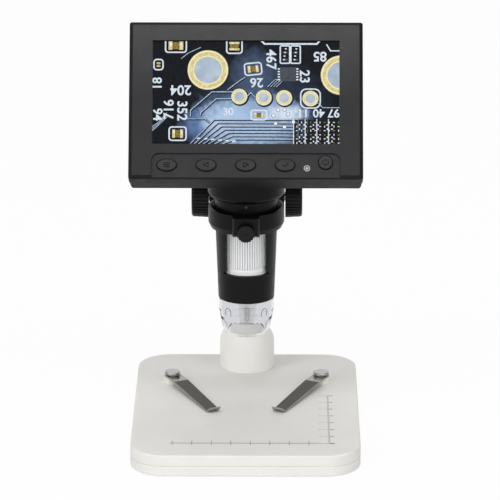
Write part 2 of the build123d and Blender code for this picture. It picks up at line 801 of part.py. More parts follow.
def key_flats(radius, low, high):
    """What two flats leave of the shaft's end, for cutting away."""
    flat = radius - shaft_flat
    return group([block(low, high, pinion_y - radius, pinion_y + radius, pinion_z + flat, pinion_z + radius),
                  block(low, high, pinion_y - radius, pinion_y + radius, pinion_z - radius, pinion_z - flat)])


def pinion_shaft():
    shaft = rod_x(shaft_radius, -shaft_half, shaft_half, pinion_y, pinion_z)
    for start, end in ((knob_start, shaft_half), (-shaft_half, -knob_start)):
        for flats in key_flats(shaft_radius, start, end).solids():
            shaft -= flats
    here = Plane(origin=(-pinion_width / 2, pinion_y, pinion_z), x_dir=(0, 1, 0), z_dir=(1, 0, 0))
    return shaft + extrude(here * pinion_face(), amount=pinion_width)


def knob(side):
    taper = Polyline((0, 0), (knob_radius, 0), (knob_rim_radius, knob_length - knob_round))
    rim = RadiusArc((knob_rim_radius, knob_length - knob_round),
                    (knob_rim_radius - knob_round, knob_length), -knob_round)
    dish_low = knob_length - knob_dish_depth
    face = Polyline((knob_rim_radius - knob_round, knob_length),
                    (knob_dish_radius + knob_dish_depth, knob_length),
                    (knob_dish_radius, dish_low), (0, dish_low), (0, 0))
    body = revolve(make_face(Plane.XZ * (taper + rim + face)), axis=Axis.Z)
    body &= extrude(ribbed_face(knob_radius, knob_rib_depth, knob_ribs), amount=knob_length)
    body = Pos(knob_start, pinion_y, pinion_z) * Rot(0, 90, 0) * body
    bore = rod_x(shaft_radius, knob_start, shaft_half, pinion_y, pinion_z)
    for flats in key_flats(shaft_radius, knob_start, shaft_half).solids():
        bore -= flats
    body -= bore
    return body if side > 0 else mirror(body, about=Plane.YZ)


# ---------------------------------------------------------------- thumbscrew
def clamp_knob():
    back = clamp_boss_face - clamp_knob_gap
    front = back - clamp_knob_length
    grip = ribbed_face(clamp_knob_radius, clamp_knob_rib_depth, clamp_knob_ribs)
    head = Pos(0, back, clamp_z) * Rot(90, 0, 0) * extrude(grip, amount=clamp_knob_length)
    rim = rod_y(clamp_knob_radius, front, back, 0, clamp_z)
    head &= chamfer(rim.faces().sort_by(Axis.Y)[0].edges(), clamp_knob_bevel)
    head -= rod_y(clamp_dimple_radius, front, front + clamp_dimple_depth, 0, clamp_z)
    return head - rod_y(clamp_stud_radius, front + clamp_knob_web, back, 0, clamp_z)


def clamp_stud():
    front = clamp_boss_face - clamp_knob_gap - clamp_knob_length + clamp_knob_web
    stud = rod_y(clamp_stud_radius, front, barrel_y - barrel_radius - running_gap, 0, clamp_z)
    return chamfer(stud.faces().sort_by(Axis.Y)[-1].edges(), clamp_stud_bevel)


# ---------------------------------------------------------------- barrel
def window_wedge(extra, low, high):
    """Opening through the barrel's front, with sides that part outwards."""
    reach = 2 * barrel_radius
    near = window_half_width + extra
    far = near + reach * math.tan(math.radians(window_flare))
    sector = make_face(Polyline((-near, 0), (-far, -reach), (far, -reach), (near, 0), close=True))
    return plate(sector, low, high)


def window_cutter():
    """The window, with a wider slot along its foot."""
    window = window_wedge(0, window_low, window_high)
    slot = window_wedge(sill_reach, window_low, window_low + sill_height)
    foot = [e for e in slot.faces().sort_by(Axis.Z)[0].edges() if abs(e.center().X) > window_half_width]
    slot = fillet(foot, sill_round) - rod(wheel_chamber, window_low, window_high)
    return Pos(0, barrel_y, 0) * (window + slot)


def barrel_shell():
    step = cap_spigot_radius - board_ledge
    board_top = led_board_z + board_thickness
    ledge_low = rim_height - wheel_ledge
    outside = [(barrel_rim_radius, barrel_rim_z), (barrel_waist_radius, barrel_waist_z),
               (barrel_radius, ring_low), (barrel_radius, barrel_top)]
    inside = [(holder_radius + running_gap, barrel_top), (holder_radius + running_gap, holder_low),
              (wheel_chamber, holder_low), (wheel_chamber, rim_height), (ledge_bore, rim_height),
              (ledge_bore, ledge_low), (step, ledge_low - (step - ledge_bore)), (step, board_top),
              (mouth_step, board_top), (mouth_step, barrel_rim_z)]
    shell = turned(outside + inside, 0, barrel_y)
    shell -= window_cutter()
    for hole in mark_holes():
        shell -= hole
    return shell


def mark_holes():
    """Countersunk holes of the small screws round the barrel's top."""
    holes = []
    for i in range(mark_screws):
        turn = Pos(0, barrel_y, 0) * Rot(0, 0, i * 360 / mark_screws)
        front = -barrel_radius - cutter_reach
        shank = rod_y(mark_radius, front, -holder_radius, 0, mark_z)
        head = rod_y(mark_head_radius, front, -barrel_radius + mark_head_depth, 0, mark_z)
        holes.append(turn * (shank + head))
    return holes


def barrel_screws():
    screws = []
    for i in range(mark_screws):
        turn = Pos(0, barrel_y, 0) * Rot(0, 0, i * 360 / mark_screws)
        shank = rod_y(mark_radius - running_gap, -barrel_radius + mark_head_depth, -holder_radius + mark_bite,
                      0, mark_z)
        head = rod_y(mark_head_radius - running_gap, -barrel_radius + mark_head_sink,
                     -barrel_radius + mark_head_depth, 0, mark_z)
        screws.append(turn * (shank + head))
    return group(screws)


def sensor_holder():
    flange_top = holder_low + holder_flange
    seat = sensor_board_z
    cup = turned([(guide_bore, holder_low), (holder_radius, holder_low), (holder_radius, holder_high),
                  (holder_bore, holder_high), (holder_bore, seat), (holder_bore - holder_wall, seat),
                  (holder_bore - holder_wall, flange_top), (guide_bore, flange_top)], 0, barrel_y)
    cup += tube(guide_radius, guide_bore, guide_low, holder_low + weld, 0, barrel_y)
    for side in (-1, 1):
        cup -= block(side * guide_radius - key_depth, side * guide_radius + key_depth,
                     barrel_y - key_width / 2, barrel_y + key_width / 2, guide_low, holder_low)
    for i in range(mark_screws):
        turn = Pos(0, barrel_y, 0) * Rot(0, 0, i * 360 / mark_screws)
        cup -= turn * rod_y(mark_radius, -holder_radius, -holder_bore, 0, mark_z)
    return cup


def sensor_board():
    return rod(holder_bore - running_gap, sensor_board_z, sensor_board_z + board_thickness, 0, barrel_y)


def image_sensor():
    return block(-sensor_half, sensor_half, barrel_y - sensor_half, barrel_y + sensor_half,
                 sensor_board_z - sensor_thickness, sensor_board_z)


def focus_wheel():
    wheel = plate(ribbed_face(wheel_radius, wheel_rib_depth, wheel_ribs), wheel_low, wheel_high, 0, barrel_y)
    wheel += rod(wheel_radius, wheel_low, wheel_low + wheel_band_height, 0, barrel_y)
    for low in (wheel_low, wheel_high - wheel_rim_height):
        wheel += rod(wheel_rim_radius, low, low + wheel_rim_height, 0, barrel_y)
    return wheel - rod(wheel_bore, wheel_low, wheel_high, 0, barrel_y)


def lens_carrier():
    bore = guide_radius + running_gap
    stop_top = lens_top + stop_thickness
    outside = [(nose_radius, carrier_low), (nose_radius, carrier_neck),
               (wheel_bore - running_gap, carrier_neck), (wheel_bore - running_gap, carrier_high)]
    inside = [(bore, carrier_high), (bore, stop_top), (stop_radius, stop_top), (stop_radius, lens_top),
              (lens_radius + running_gap, lens_top), (lens_radius + running_gap, carrier_low)]
    body = turned(outside + inside, 0, barrel_y)
    key_half = key_width / 2 - plate_gap
    key = block(guide_radius - key_depth + key_play, bore + weld, -key_half, key_half,
                lens_top + key_rise, carrier_high)
    for turn in (0, 180):
        body += Pos(0, barrel_y, 0) * Rot(0, 0, turn) * key
    return body


def objective_lens():
    """Plano-convex glass in the carrier's nose, crowned downwards."""
    shoulder = lens_low + lens_bulge
    straight = Polyline((lens_radius, shoulder), (lens_radius, lens_top), (0, lens_top), (0, lens_low))
    halfway = (lens_radius / 2, lens_low + lens_bulge / 4)
    crown = ThreePointArc((0, lens_low), halfway, (lens_radius, shoulder))
    return Pos(0, barrel_y, 0) * revolve(make_face(Plane.XZ * (straight + crown)), axis=Axis.Z)


def led_board():
    return tube(cap_spigot_radius - running_gap, led_board_bore, led_board_z,
                led_board_z + board_thickness, 0, barrel_y)


def led_lamps():
    lamps = []
    for i in range(led_count):
        turn = Pos(0, barrel_y, 0) * Rot(0, 0, (i + 0.5) * 360 / led_count)
        half = led_size / 2
        middle = led_board_z - led_height / 2
        case = block(led_ring_radius - half, led_ring_radius + half, -half, half, middle, led_board_z)
        case += rod(led_lens_radius, led_board_z - led_height, middle, led_ring_radius, 0)
        lamps.append(turn * case)
    return group(lamps)


def clear_cap():
    """Clear nose: a waisted bell with a thick lower lip, open at the bottom."""
    top = led_board_z
    outer_rise = Polyline((cap_spigot_bore, top), (cap_spigot_radius, top), (cap_spigot_radius, barrel_rim_z),
                          (barrel_rim_radius - cap_rim_step, barrel_rim_z),
                          (cap_shoulder_radius, cap_shoulder_z), (cap_step_radius, cap_step_z),
                          (cap_step_radius - cap_step, cap_step_z))
    curve = RadiusArc((cap_step_radius - cap_step, cap_step_z), (cap_mouth_radius, cap_bottom), cap_curve)
    lip_top = cap_bottom + cap_mouth_height
    inner = Polyline((cap_mouth_radius, cap_bottom), (cap_mouth_bore, cap_bottom), (cap_mouth_bore, lip_top),
                     (cap_step_radius - cap_foot_wall, cap_step_z),
                     (cap_shoulder_radius - cap_wall, cap_shoulder_z),
                     (cap_shoulder_radius - cap_wall, barrel_rim_z - cap_root),
                     (cap_spigot_bore, barrel_rim_z), (cap_spigot_bore, top))
    bell = revolve(make_face(Plane.XZ * (outer_rise + curve + inner)), axis=Axis.Z)
    return Pos(0, barrel_y, 0) * bell


# ---------------------------------------------------------------- screen housing
def head_outline(inset, corner):
    return Pos(0, head_centre_y) * RectangleRounded(head_width - 2 * inset, head_height - 2 * inset, corner)


def button_hole(x, low, high):
    hole = Ellipse(button_half_width + button_play, button_half_height + button_play)
    return plate(hole, low, high, x, button_row_y)


def front_bezel():
    shell = plate(head_outline(0, head_corner), -bezel_depth + seam_gap, -face_bevel)
    shell += loft([Pos(0, 0, -face_bevel) * head_outline(0, head_corner),
                   head_outline(face_bevel, face_corner)])
    shell -= plate(head_outline(head_wall, head_corner), -bezel_depth, -face_thickness)
    posts = [rod(head_post_radius, main_board_z, -face_thickness + weld, x, y) for x, y in head_screws_at]
    posts += [rod(key_post_radius, key_board_z, -face_thickness + weld, x, y) for x, y in key_posts_at]
    for post in posts:
        shell += post
    for x, y in head_screws_at:
        shell -= rod(head_screw_radius, main_board_z, -face_thickness - pilot_roof, x, y)
    shell -= plate(Rectangle(picture_width + 2 * picture_play, picture_height + 2 * picture_play),
                   -face_thickness, 0)
    shell -= plate(Rectangle(lcd_width + 2 * lcd_play, lcd_height + 2 * lcd_play),
                   -face_thickness, -lip_thickness, 0, lcd_centre_y)
    recess = plate(Rectangle(head_width - 2 * key_panel_inset, 2 * head_below), -key_panel_depth,
                   key_panel_depth, 0, key_panel_top - head_below)
    corners = recess.edges().filter_by(Axis.Z).sort_by(Axis.Y)[-2:]
    shell -= fillet(corners, key_panel_corner)
    relief = -face_thickness - plate_gap - button_travel - button_clearance
    for x in button_xs:
        shell -= button_hole(x, relief, 0)
    shell -= rod(power_radius + button_play, relief, 0, power_x, power_y)
    shell -= rod(indicator_radius, -face_thickness - indicator_tail - plate_gap, 0, indicator_x, indicator_y)
    return head_place * shell


def lcd_frame():
    tray = plate(Rectangle(lcd_width, lcd_height), -lip_thickness - lcd_depth, -lip_thickness,
                 0, lcd_centre_y)
    tray -= plate(glass_outline(lcd_play), -lip_thickness - glass_thickness, -lip_thickness)
    return head_place * tray


def glass_outline(play):
    return Rectangle(picture_width + 2 * (glass_margin + play), picture_height + 2 * (glass_margin + play))


def lcd_panel():
    return head_place * plate(glass_outline(0), -lip_thickness - glass_thickness, -lip_thickness)


def under_roof(column, roof_drop):
    """What the housing's sloping roof leaves of an upright column."""
    reach = 3 * collar_radius
    roof = block(-reach, reach, -reach, reach, 0, reach)
    return column - Pos(0, barrel_y + collar_radius, hump_back_z - roof_drop) * Rot(-roof_slope, 0, 0) * roof


def collar_solid():
    """The collar's outside: it narrows in a curve underneath and ends in a rounded roof."""
    column = rod(collar_radius, collar_bottom, screen_z, 0, barrel_y)
    column = fillet(column.faces().sort_by(Axis.Z)[0].edges(), collar_round)
    column = under_roof(column, 0)
    return fillet(column.faces().sort_by(Axis.Z)[-1].edges(), hump_round)


def behind_seam():
    """Everything behind the plane where bezel and rear shell meet."""
    return head_place * plate(Rectangle(3 * head_width, 3 * head_width), -6 * head_depth, -bezel_depth)


def rear_shell():
    front = head_outline(rear_start_inset, head_corner)
    rear = head_outline(rear_inset, head_corner + rear_inset)
    shell = loft([Pos(0, 0, -bezel_depth) * front, Pos(0, 0, -head_depth) * rear])
    shell = fillet(shell.faces().sort_by(Axis.Z)[0].edges(), rear_round)
    shell = head_place * shell
    shell += collar_solid() & behind_seam()

    inside_front = head_outline(rear_start_inset + head_wall, head_corner)
    inside_rear = head_outline(rear_inset + head_wall, head_corner)
    cavity = loft([Pos(0, 0, -bezel_depth) * inside_front, Pos(0, 0, -head_depth + head_wall) * inside_rear])
    shell -= head_place * cavity
    room = rod(hump_bore, barrel_top + hump_floor, screen_z, 0, barrel_y)
    shell -= under_roof(room, hump_roof) & behind_seam()
    shell -= rod(barrel_radius - barrel_stop, collar_bottom, barrel_top + hump_floor + weld, 0, barrel_y)
    shell -= rod(ring_bore, collar_bottom, barrel_top + running_gap, 0, barrel_y)

    board_back = main_board_z - main_board_thickness
    seat = -head_depth + head_screw_seat
    for x, y in head_screws_at:
        shell += head_place * rod(head_post_radius + weld, -head_depth + head_wall - weld, board_back, x, y)
    for x, y in head_screws_at:
        shell -= head_place * rod(head_screw_radius + screw_play, -head_depth, board_back, x, y)
        shell -= head_place * rod(head_screw_head + screw_play, -head_depth, seat, x, y)
    shell -= head_place * usb_solid(socket_play, head_wall)
    return shell - head_place * card_solid(socket_play, head_wall)


def head_screws():
    seat = -head_depth + head_screw_seat
    low = seat - head_screw_head_height
    screws = []
    for x, y in head_screws_at:
        screw = rod(head_screw_head, low, seat, x, y)
        screw += rod(head_screw_radius - running_gap, low, -face_thickness - head_screw_end, x, y)
        screws.append(screw - cross_recess(head_screw_head, low, low + cross_depth, x, y))
    return head_place * group(screws)


def main_board():
    """Board across the housing, with an ear at each screw."""
    back = main_board_z - main_board_thickness
    up = head_above - main_board_inset_top
    down = head_below - main_board_inset_bottom
    board = plate(Rectangle(head_width - 2 * main_board_inset, up + down), back, main_board_z,
                  0, (up - down) / 2)
    ear_half = head_screw_inset - main_board_inset
    for x, y in head_screws_at:
        tip = y + math.copysign(head_post_radius, y)
        board += block(x - ear_half, x + ear_half, min(tip, 0), max(tip, 0), back, main_board_z)
    for x, y in head_screws_at:
        board -= rod(head_screw_radius + screw_play, back, main_board_z, x, y)
    return head_place * board


def key_board():
    board = plate(Rectangle(key_board_length, key_board_height), key_board_z - key_board_thickness,
                  key_board_z, 0, button_row_y + key_board_rise)
    return head_place * board


def tact_switches():
    top = key_board_z + switch_height
    spots = [(x, button_row_y) for x in button_xs] + [(power_x, power_y)]
    half = switch_size / 2
    switches = [block(x - half, x + half, y - half, y + half, key_board_z, top)
                + rod(plunger_radius, top, top + plunger_height, x, y) for x, y in spots]
    return head_place * group(switches)


def indicator_lens():
    lens = rod(indicator_radius - running_gap, -face_thickness - indicator_tail,
               -key_panel_depth + plate_gap, indicator_x, indicator_y)
    return head_place * lens


def battery():
    back = -head_depth + head_wall
    cell = plate(RectangleRounded(battery_width, battery_height, battery_corner),
                 back, back + battery_thickness, 0, battery_y)
    return head_place * cell


def side_x(z):
    """Half width of the rear shell at depth z."""
    share = (-z - bezel_depth) / (head_depth - bezel_depth)
    return head_width / 2 - rear_start_inset - share * (rear_inset - rear_start_inset)


def usb_solid(play, reach):
    board_back = main_board_z - main_board_thickness
    mouth = side_x(board_back) - socket_recess
    return block(mouth - usb_depth, mouth + reach,
                 usb_y - usb_width / 2 - play, usb_y + usb_width / 2 + play,
                 board_back - usb_height - play, board_back)


def usb_port():
    board_back = main_board_z - main_board_thickness
    low = board_back - usb_height
    mouth = side_x(board_back) - socket_recess
    slot = block(mouth - usb_depth + usb_back_wall, mouth,
                 usb_y - usb_width / 2 + socket_wall, usb_y + usb_width / 2 - socket_wall,
                 low + socket_wall, board_back - socket_wall)
    middle = (low + board_back) / 2
    tongue = block(mouth - usb_depth + usb_tongue_inset, mouth - usb_tongue_inset,
                   usb_y - usb_width / 4, usb_y + usb_width / 4,
                   middle - usb_tongue_half, middle + usb_tongue_half)
    return head_place * (usb_solid(0, 0) - slot + tongue)


def card_solid(play, reach):
    board_back = main_board_z - main_board_thickness
    mouth = side_x(board_back) - socket_recess
    return block(mouth - card_depth, mouth + reach,
                 card_y - card_width / 2 - play, card_y + card_width / 2 + play,
                 board_back - card_height - play, board_back)


def card_slot():
    board_back = main_board_z - main_board_thickness
    mouth = side_x(board_back) - socket_recess
    slot = block(mouth - card_depth + card_back_wall, mouth,
                 card_y - card_width / 2 + card_side_wall, card_y + card_width / 2 - card_side_wall,
                 board_back - card_height + socket_wall, board_back - socket_wall)
    return head_place * (card_solid(0, 0) - slot)


def board_connector():
    board_back = main_board_z - main_board_thickness
    half_w, half_h = connector_width / 2, connector_height / 2
    return head_place * block(-half_w, half_w, connector_y - half_h, connector_y + half_h,
                              board_back - connector_depth, board_back)


def head_point(y, z):
    """Side-view place (Y, Z) of a point given in the housing's frame."""
    return (screen_y + y * math.sin(tilt) - z * math.cos(tilt),
            screen_z + y * math.cos(tilt) + z * math.sin(tilt))


def sensor_flex():
    """Ribbon from the camera board up into the screen housing."""
    board_top = sensor_board_z + board_thickness
    socket_end = connector_y - connector_height / 2
    depth = main_board_z - main_board_thickness - connector_depth / 2
    foot_y = barrel_y - flex_offset
    path = FilletPolyline((foot_y, board_top), (foot_y, barrel_top + flex_rise),
                          head_point(socket_end - flex_run, depth), head_point(socket_end, depth),
                          radius=flex_bend)
    ribbon = trace(path, line_width=flex_thickness)
    solid = extrude(Plane.YZ * ribbon, amount=flex_width)
    return Pos(-flex_width / 2, 0, 0) * solid


# ---------------------------------------------------------------- buttons
def stem_end():
    return -(face_thickness + plate_gap + button_flange_thickness + stem_length)


def button_body(outline, flange, x, y):
    cap_back = -(face_thickness + plate_gap)
    cap = plate(outline, cap_back, button_proud, x, y)
    cap = fillet(cap.faces().sort_by(Axis.Z)[-1].edges(), button_round)
    cap += plate(flange, cap_back - button_flange_thickness, cap_back, x, y)
    return head_place * (cap + rod(stem_radius, stem_end(), cap_back, x, y))


def ears(half_width):
    """Two ears under the face, left and right, that keep a button in."""
    return Rectangle(2 * (half_width + button_flange), 2 * button_ear_half)


def oval_button(x):
    return button_body(Ellipse(button_half_width, button_half_height), ears(button_half_width),
                       x, button_row_y)


def power_button():
    return button_body(Circle(power_radius), ears(power_radius), power_x, power_y)


# ---------------------------------------------------------------- write every sub-part
os.makedirs("parts", exist_ok=True)

save("base_top_cover", base_top_cover())
save("base_bottom_plate", base_bottom_plate())
save("ballast_plate", ballast_plate())
save("rubber_feet", rubber_feet())
save("base_screws", base_screws())
save("pole_socket", pole_socket())
save("pole", pole())
save("pole_end_cap", pole_end_cap())
save("pole_washer", pole_washer())
save("pole_screw", pole_screw())
save("clip_pin_left", clip_pin(-1))
save("clip_pin_right", clip_pin(1))
save("clip_left", clip(-1))
save("clip_right", clip(1))
save("carriage_housing", carriage_housing())
save("pole_bushings", pole_bushings())
save("pinion_bushes", pinion_bushes())
save("brake_pad", brake_pad())
save("brake_screw", brake_screw())
save("pinion_shaft", pinion_shaft())
save("knob_left", knob(-1))
save("knob_right", knob(1))
save("clamp_knob", clamp_knob())
save("clamp_stud", clamp_stud())
save("barrel_shell", barrel_shell())
save("barrel_screws", barrel_screws())
save("sensor_holder", sensor_holder())
save("sensor_board", sensor_board())
save("image_sensor", image_sensor())
save("sensor_flex", sensor_flex())
save("focus_wheel", focus_wheel())
save("lens_carrier", lens_carrier())
save("objective_lens", objective_lens())
save("led_board", led_board())
save("led_lamps", led_lamps())
save("clear_cap", clear_cap())
save("front_bezel", front_bezel())
save("rear_shell", rear_shell())
save("lcd_frame", lcd_frame())
save("lcd_panel", lcd_panel())
save("main_board", main_board())
save("board_connector", board_connector())
save("key_board", key_board())
save("tact_switches", tact_switches())
save("indicator_lens", indicator_lens())
save("battery", battery())
save("usb_port", usb_port())
save("card_slot", card_slot())
save("head_screws", head_screws())
for button_name, button_x in zip(("menu", "left", "right", "ok"), button_xs):
    save("button_" + button_name, oval_button(button_x))
save("button_power", power_button())
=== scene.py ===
"""Looks of the lcd digital microscope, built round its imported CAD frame.

The camera and the lamps are placed in metres in the CAD's frame. Named places on the part and the flat
drawings on the screen, the base and the keys are written in millimetres, the drawings on their own planes.
"""

import json
import math

import bmesh
import bpy
from mathutils import Matrix, Vector
from mathutils.bvhtree import BVHTree


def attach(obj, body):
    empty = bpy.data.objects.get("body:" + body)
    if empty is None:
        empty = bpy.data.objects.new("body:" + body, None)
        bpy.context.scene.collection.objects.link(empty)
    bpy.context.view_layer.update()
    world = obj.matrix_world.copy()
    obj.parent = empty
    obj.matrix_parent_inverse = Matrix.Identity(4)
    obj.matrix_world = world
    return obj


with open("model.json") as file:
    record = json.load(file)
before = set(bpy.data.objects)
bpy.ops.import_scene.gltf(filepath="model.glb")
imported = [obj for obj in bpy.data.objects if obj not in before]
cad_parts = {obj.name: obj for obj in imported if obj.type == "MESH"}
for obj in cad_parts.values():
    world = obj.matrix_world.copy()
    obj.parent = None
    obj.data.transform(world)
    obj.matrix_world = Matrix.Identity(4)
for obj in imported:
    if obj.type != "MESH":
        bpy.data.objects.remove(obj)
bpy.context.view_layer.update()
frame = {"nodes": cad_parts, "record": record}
nodes = frame["nodes"]

MM = 0.001
MIX_FIRST, MIX_SECOND, MIX_RESULT = 6, 7, 2

# ---------------------------------------------------------------- camera
camera_place = (0.01414, -1.74697, 0.66450)
camera_pitch = 18.0           # degrees below the horizon
camera_yaw = 0.40             # degrees towards -X
camera_lens = 254.2           # mm
camera_sensor = 36.0          # mm
camera_near = 0.05
camera_far = 50.0

# ---------------------------------------------------------------- light
room_level = 0.36             # of the studio's walls and ceiling, as the object sees them
front_level = 1.15            # of the white wall behind the camera
left_level = 0.30             # of the darker screens at both sides
right_level = 0.10
front_fade = (-0.85, -0.40)   # from the white wall to the room, by a direction's Y
front_top = (0.35, 0.65)      # from the wall's top to the room, by a direction's Z
left_fade = (-0.85, -0.60)    # from the left screen to the room, by a direction's X
right_fade = (0.60, 0.85)     # from the room to the right screen
backdrop_fade = (0.25, 0.60)  # from the room to the white backdrop, by a direction's Y
backdrop_top = (0.36, 0.46)   # from the backdrop's top to the room, by a direction's Z
floor_size = 12.0
floor_colour = 0.88
floor_glow = 0.95             # share of plain white in the floor's picture
lamps = (
    # name, place, watts, width, height
    ("front_box", (0.0, -0.95, 1.45), 8.5, 1.3, 0.8),
    ("left_box", (-1.20, -0.80, 1.10), 7.5, 0.8, 1.0),
    ("right_box", (1.20, -0.80, 1.10), 4.5, 0.8, 1.0),
    ("top_box", (0.0, 0.50, 1.65), 5.0, 1.2, 0.8),
)
lamp_aim = (0.0, 0.0, 0.12)

# ---------------------------------------------------------------- flat drawings, mm
picture_width = 95.04
picture_height = 53.86
picture_lift = 0.02           # of the picture's lowest layer over the panel
layer_step = 0.012            # between the picture's layers
numeral_weight = 0.020        # by which the figures' strokes grow on each side, as a share of their size
mitre_least = 0.4             # keeps a line's sharp corners from reaching far
mark_lift = 0.10              # of the marks' tops over the keys
mark_height = 0.12            # of their tops over their undersides, which are in the keys
mark_line = 0.28
ink_lift = 0.02
ink_step = 0.004

# ---------------------------------------------------------------- places on the CAD, mm unless said
barrel_y = 5.0
collar_radius = 20.1          # round the rear shell's collar, which looks like the barrel
wheel_groove = 12.05          # radius at the bottom of the wheel's grooves, where the painted groove shade is darkest
wheel_rib = 12.45             # and at the top of its ribs, where the painted groove shade ends
latch_turn = 47.0             # of the cap's two latches, from the front to either side, degrees
latch_foot = 61.8             # height of its ends
latch_top = 66.0              # height of its arch
latch_half_width = 2.0
latch_thickness = 0.16        # radius of its line
latch_inset = 0.20            # of its middle inside the cap's wall
latch_steps = 12
cap_inside = 13.0             # the cap's inner radius there
facing_least = 0.99           # part of a normal along the screen's direction, on faces parallel to it
face_skin = 0.1               # depth in which the housing's foremost faces lie
panel_high = 0.5              # depths between which the sunk key panel lies
panel_low = 1.3
phosphor_depth = 0.7          # height over the lamps' lowest point up to which they are yellow
painted_sheen_low_z = 186.0                # height below which the housing's face has its least painted sheen
painted_sheen_high_z = 213.0              # and above which it has its most; the sheen is painted to fall from the top down, as light from above falls
slope_least = 0.90            # upward part of the normal on the clips' slopes, which are painted darker as a reflection of the dark room
slope_most = 0.999

# ---------------------------------------------------------------- printed scale, mm
stage_z = 12.0
centimetre = 10
scale_y = -59.0               # of the front line
scale_left = -38.7
scale_right = 45.7
scale_first = -37.5           # first centimetre tick
scale_count = 8
scale_last_ticks = 5          # millimetre ticks after the last centimetre
upright_x = 43.0
upright_top = 11.0
bold_line = 0.9
front_line = 0.8
cross_line = 0.6
tick_line = 0.45
fine_line = 0.2
tick_below = 2.4              # how far a centimetre tick reaches to either side of the front line
tick_above = 3.6
half_tick = 2.6
fine_tick = 1.5
cross_left = 5.5              # how far a line reaches to either side of the upright
cross_right = 2.6


def srgb(red, green, blue):
    """Linear colour of an 8-bit display colour."""
    parts = [c / 255 for c in (red, green, blue)]
    return tuple(p / 12.92 if p < 0.04045 else ((p + 0.055) / 1.055) ** 2.4 for p in parts) + (1.0,)


# ---------------------------------------------------------------- node trees
class Tree:
    """The nodes of a material or a world, with short ways to add and link them."""

    def __init__(self, owner):
        owner.use_nodes = True
        self.tree = owner.node_tree

    def add(self, kind, **settings):
        node = self.tree.nodes.new(kind)
        for name, value in settings.items():
            setattr(node, name, value)
        return node

    def feed(self, value, socket):
        """Link an output to a socket, or set the socket's own value."""
        if isinstance(value, bpy.types.NodeSocket):
            self.tree.links.new(value, socket)
        else:
            socket.default_value = value

    def between(self, share, low, high, start=0.3, end=0.7, curve="LINEAR"):
        """Go from low to high while the share goes from start to end."""
        node = self.add("ShaderNodeMapRange", interpolation_type=curve)
        self.feed(share, node.inputs["Value"])
        limits = (("From Min", start), ("From Max", end), ("To Min", low), ("To Max", high))
        for socket, value in limits:
            self.feed(value, node.inputs[socket])
        return node.outputs["Result"]

    def math(self, operation, first, second=0.0):
        node = self.add("ShaderNodeMath", operation=operation)
        self.feed(first, node.inputs[0])
        self.feed(second, node.inputs[1])
        return node.outputs[0]

    def square(self, value):
        return self.math("MULTIPLY", value, value)

    def parts(self, vector):
        """The X, Y and Z outputs of a vector."""
        node = self.add("ShaderNodeSeparateXYZ")
        self.feed(vector, node.inputs["Vector"])
        return node.outputs

    def rays(self):
        """1 for rays from the camera, and 1 for rays that come through gloss or glass."""
        path = self.add("ShaderNodeLightPath")
        shiny = self.math("MAXIMUM", path.outputs["Is Glossy Ray"], path.outputs["Is Transmission Ray"])
        return path.outputs["Is Camera Ray"], shiny


class Finish(Tree):
    """A node material on a Principled shader. Its textures lie in the object's own metres."""

    def __init__(self, name, colour, roughness, **sockets):
        self.material = bpy.data.materials.new(name)
        super().__init__(self.material)
        self.shader = self.tree.nodes["Principled BSDF"]
        self.place = self.add("ShaderNodeTexCoord").outputs["Object"]
        self.put("Base Color", colour)
        self.put("Roughness", roughness)
        for socket, value in sockets.items():
            self.put(socket.replace("_", " "), value)

    def put(self, socket, value):
        self.feed(value, self.shader.inputs[socket])

    def noise(self, size, detail=2.0, stretch=(1, 1, 1)):
        """Cloudy value from 0 to 1 with features of about this size."""
        spread = self.add("ShaderNodeMapping")
        spread.inputs["Scale"].default_value = [s / size for s in stretch]
        self.feed(self.place, spread.inputs["Vector"])
        node = self.add("ShaderNodeTexNoise")
        node.inputs["Scale"].default_value = 1.0
        node.inputs["Detail"].default_value = detail
        self.feed(spread.outputs["Vector"], node.inputs["Vector"])
        return node.outputs["Fac"]

    def cells(self, size):
        """Distance to the nearest of scattered points of about this spacing."""
        node = self.add("ShaderNodeTexVoronoi")
        node.inputs["Scale"].default_value = 1 / size
        self.feed(self.place, node.inputs["Vector"])
        return node.outputs["Distance"]

    def mix(self, share, first, second):
        """Blend two colours. The node has sockets for other types too, so its colours go by number."""
        node = self.add("ShaderNodeMix", data_type="RGBA")
        self.feed(share, node.inputs["Factor"])
        self.feed(first, node.inputs[MIX_FIRST])
        self.feed(second, node.inputs[MIX_SECOND])
        return node.outputs[MIX_RESULT]

    def axis(self, name):
        return self.parts(self.place)[name]

    def soft_edge(self, radius):
        """Normal that rounds sharp edges by this radius."""
        node = self.add("ShaderNodeBevel", samples=4)
        node.inputs["Radius"].default_value = radius
        return node.outputs["Normal"]

    def bump(self, height, depth, normal=None):
        """Surface relief of this depth, on top of another normal."""
        node = self.add("ShaderNodeBump")
        node.inputs["Strength"].default_value = 1.0
        node.inputs["Distance"].default_value = depth
        self.feed(height, node.inputs["Height"])
        if normal is not None:
            self.feed(normal, node.inputs["Normal"])
        return node.outputs["Normal"]


# ---------------------------------------------------------------- materials
def grained(name, dark, light, roughness, grain, depth, edge=0.25 * MM, **sockets):
    """Moulded plastic: sparked grain, faint clouds of tone and gloss, and softened edges."""
    finish = Finish(name, dark, roughness, **sockets)
    cloud = finish.noise(18 * MM, detail=3.0)
    finish.put("Base Color", finish.mix(finish.between(cloud, 0.0, 1.0), dark, light))
    finish.put("Roughness", finish.between(finish.noise(6 * MM), roughness - 0.04, roughness + 0.05))
    relief = finish.noise(grain, detail=3.0)
    finish.put("Normal", finish.bump(relief, depth, finish.soft_edge(edge)))
    return finish


def moulded(*values, **settings):
    """The same, as a bare material."""
    return grained(*values, **settings).material


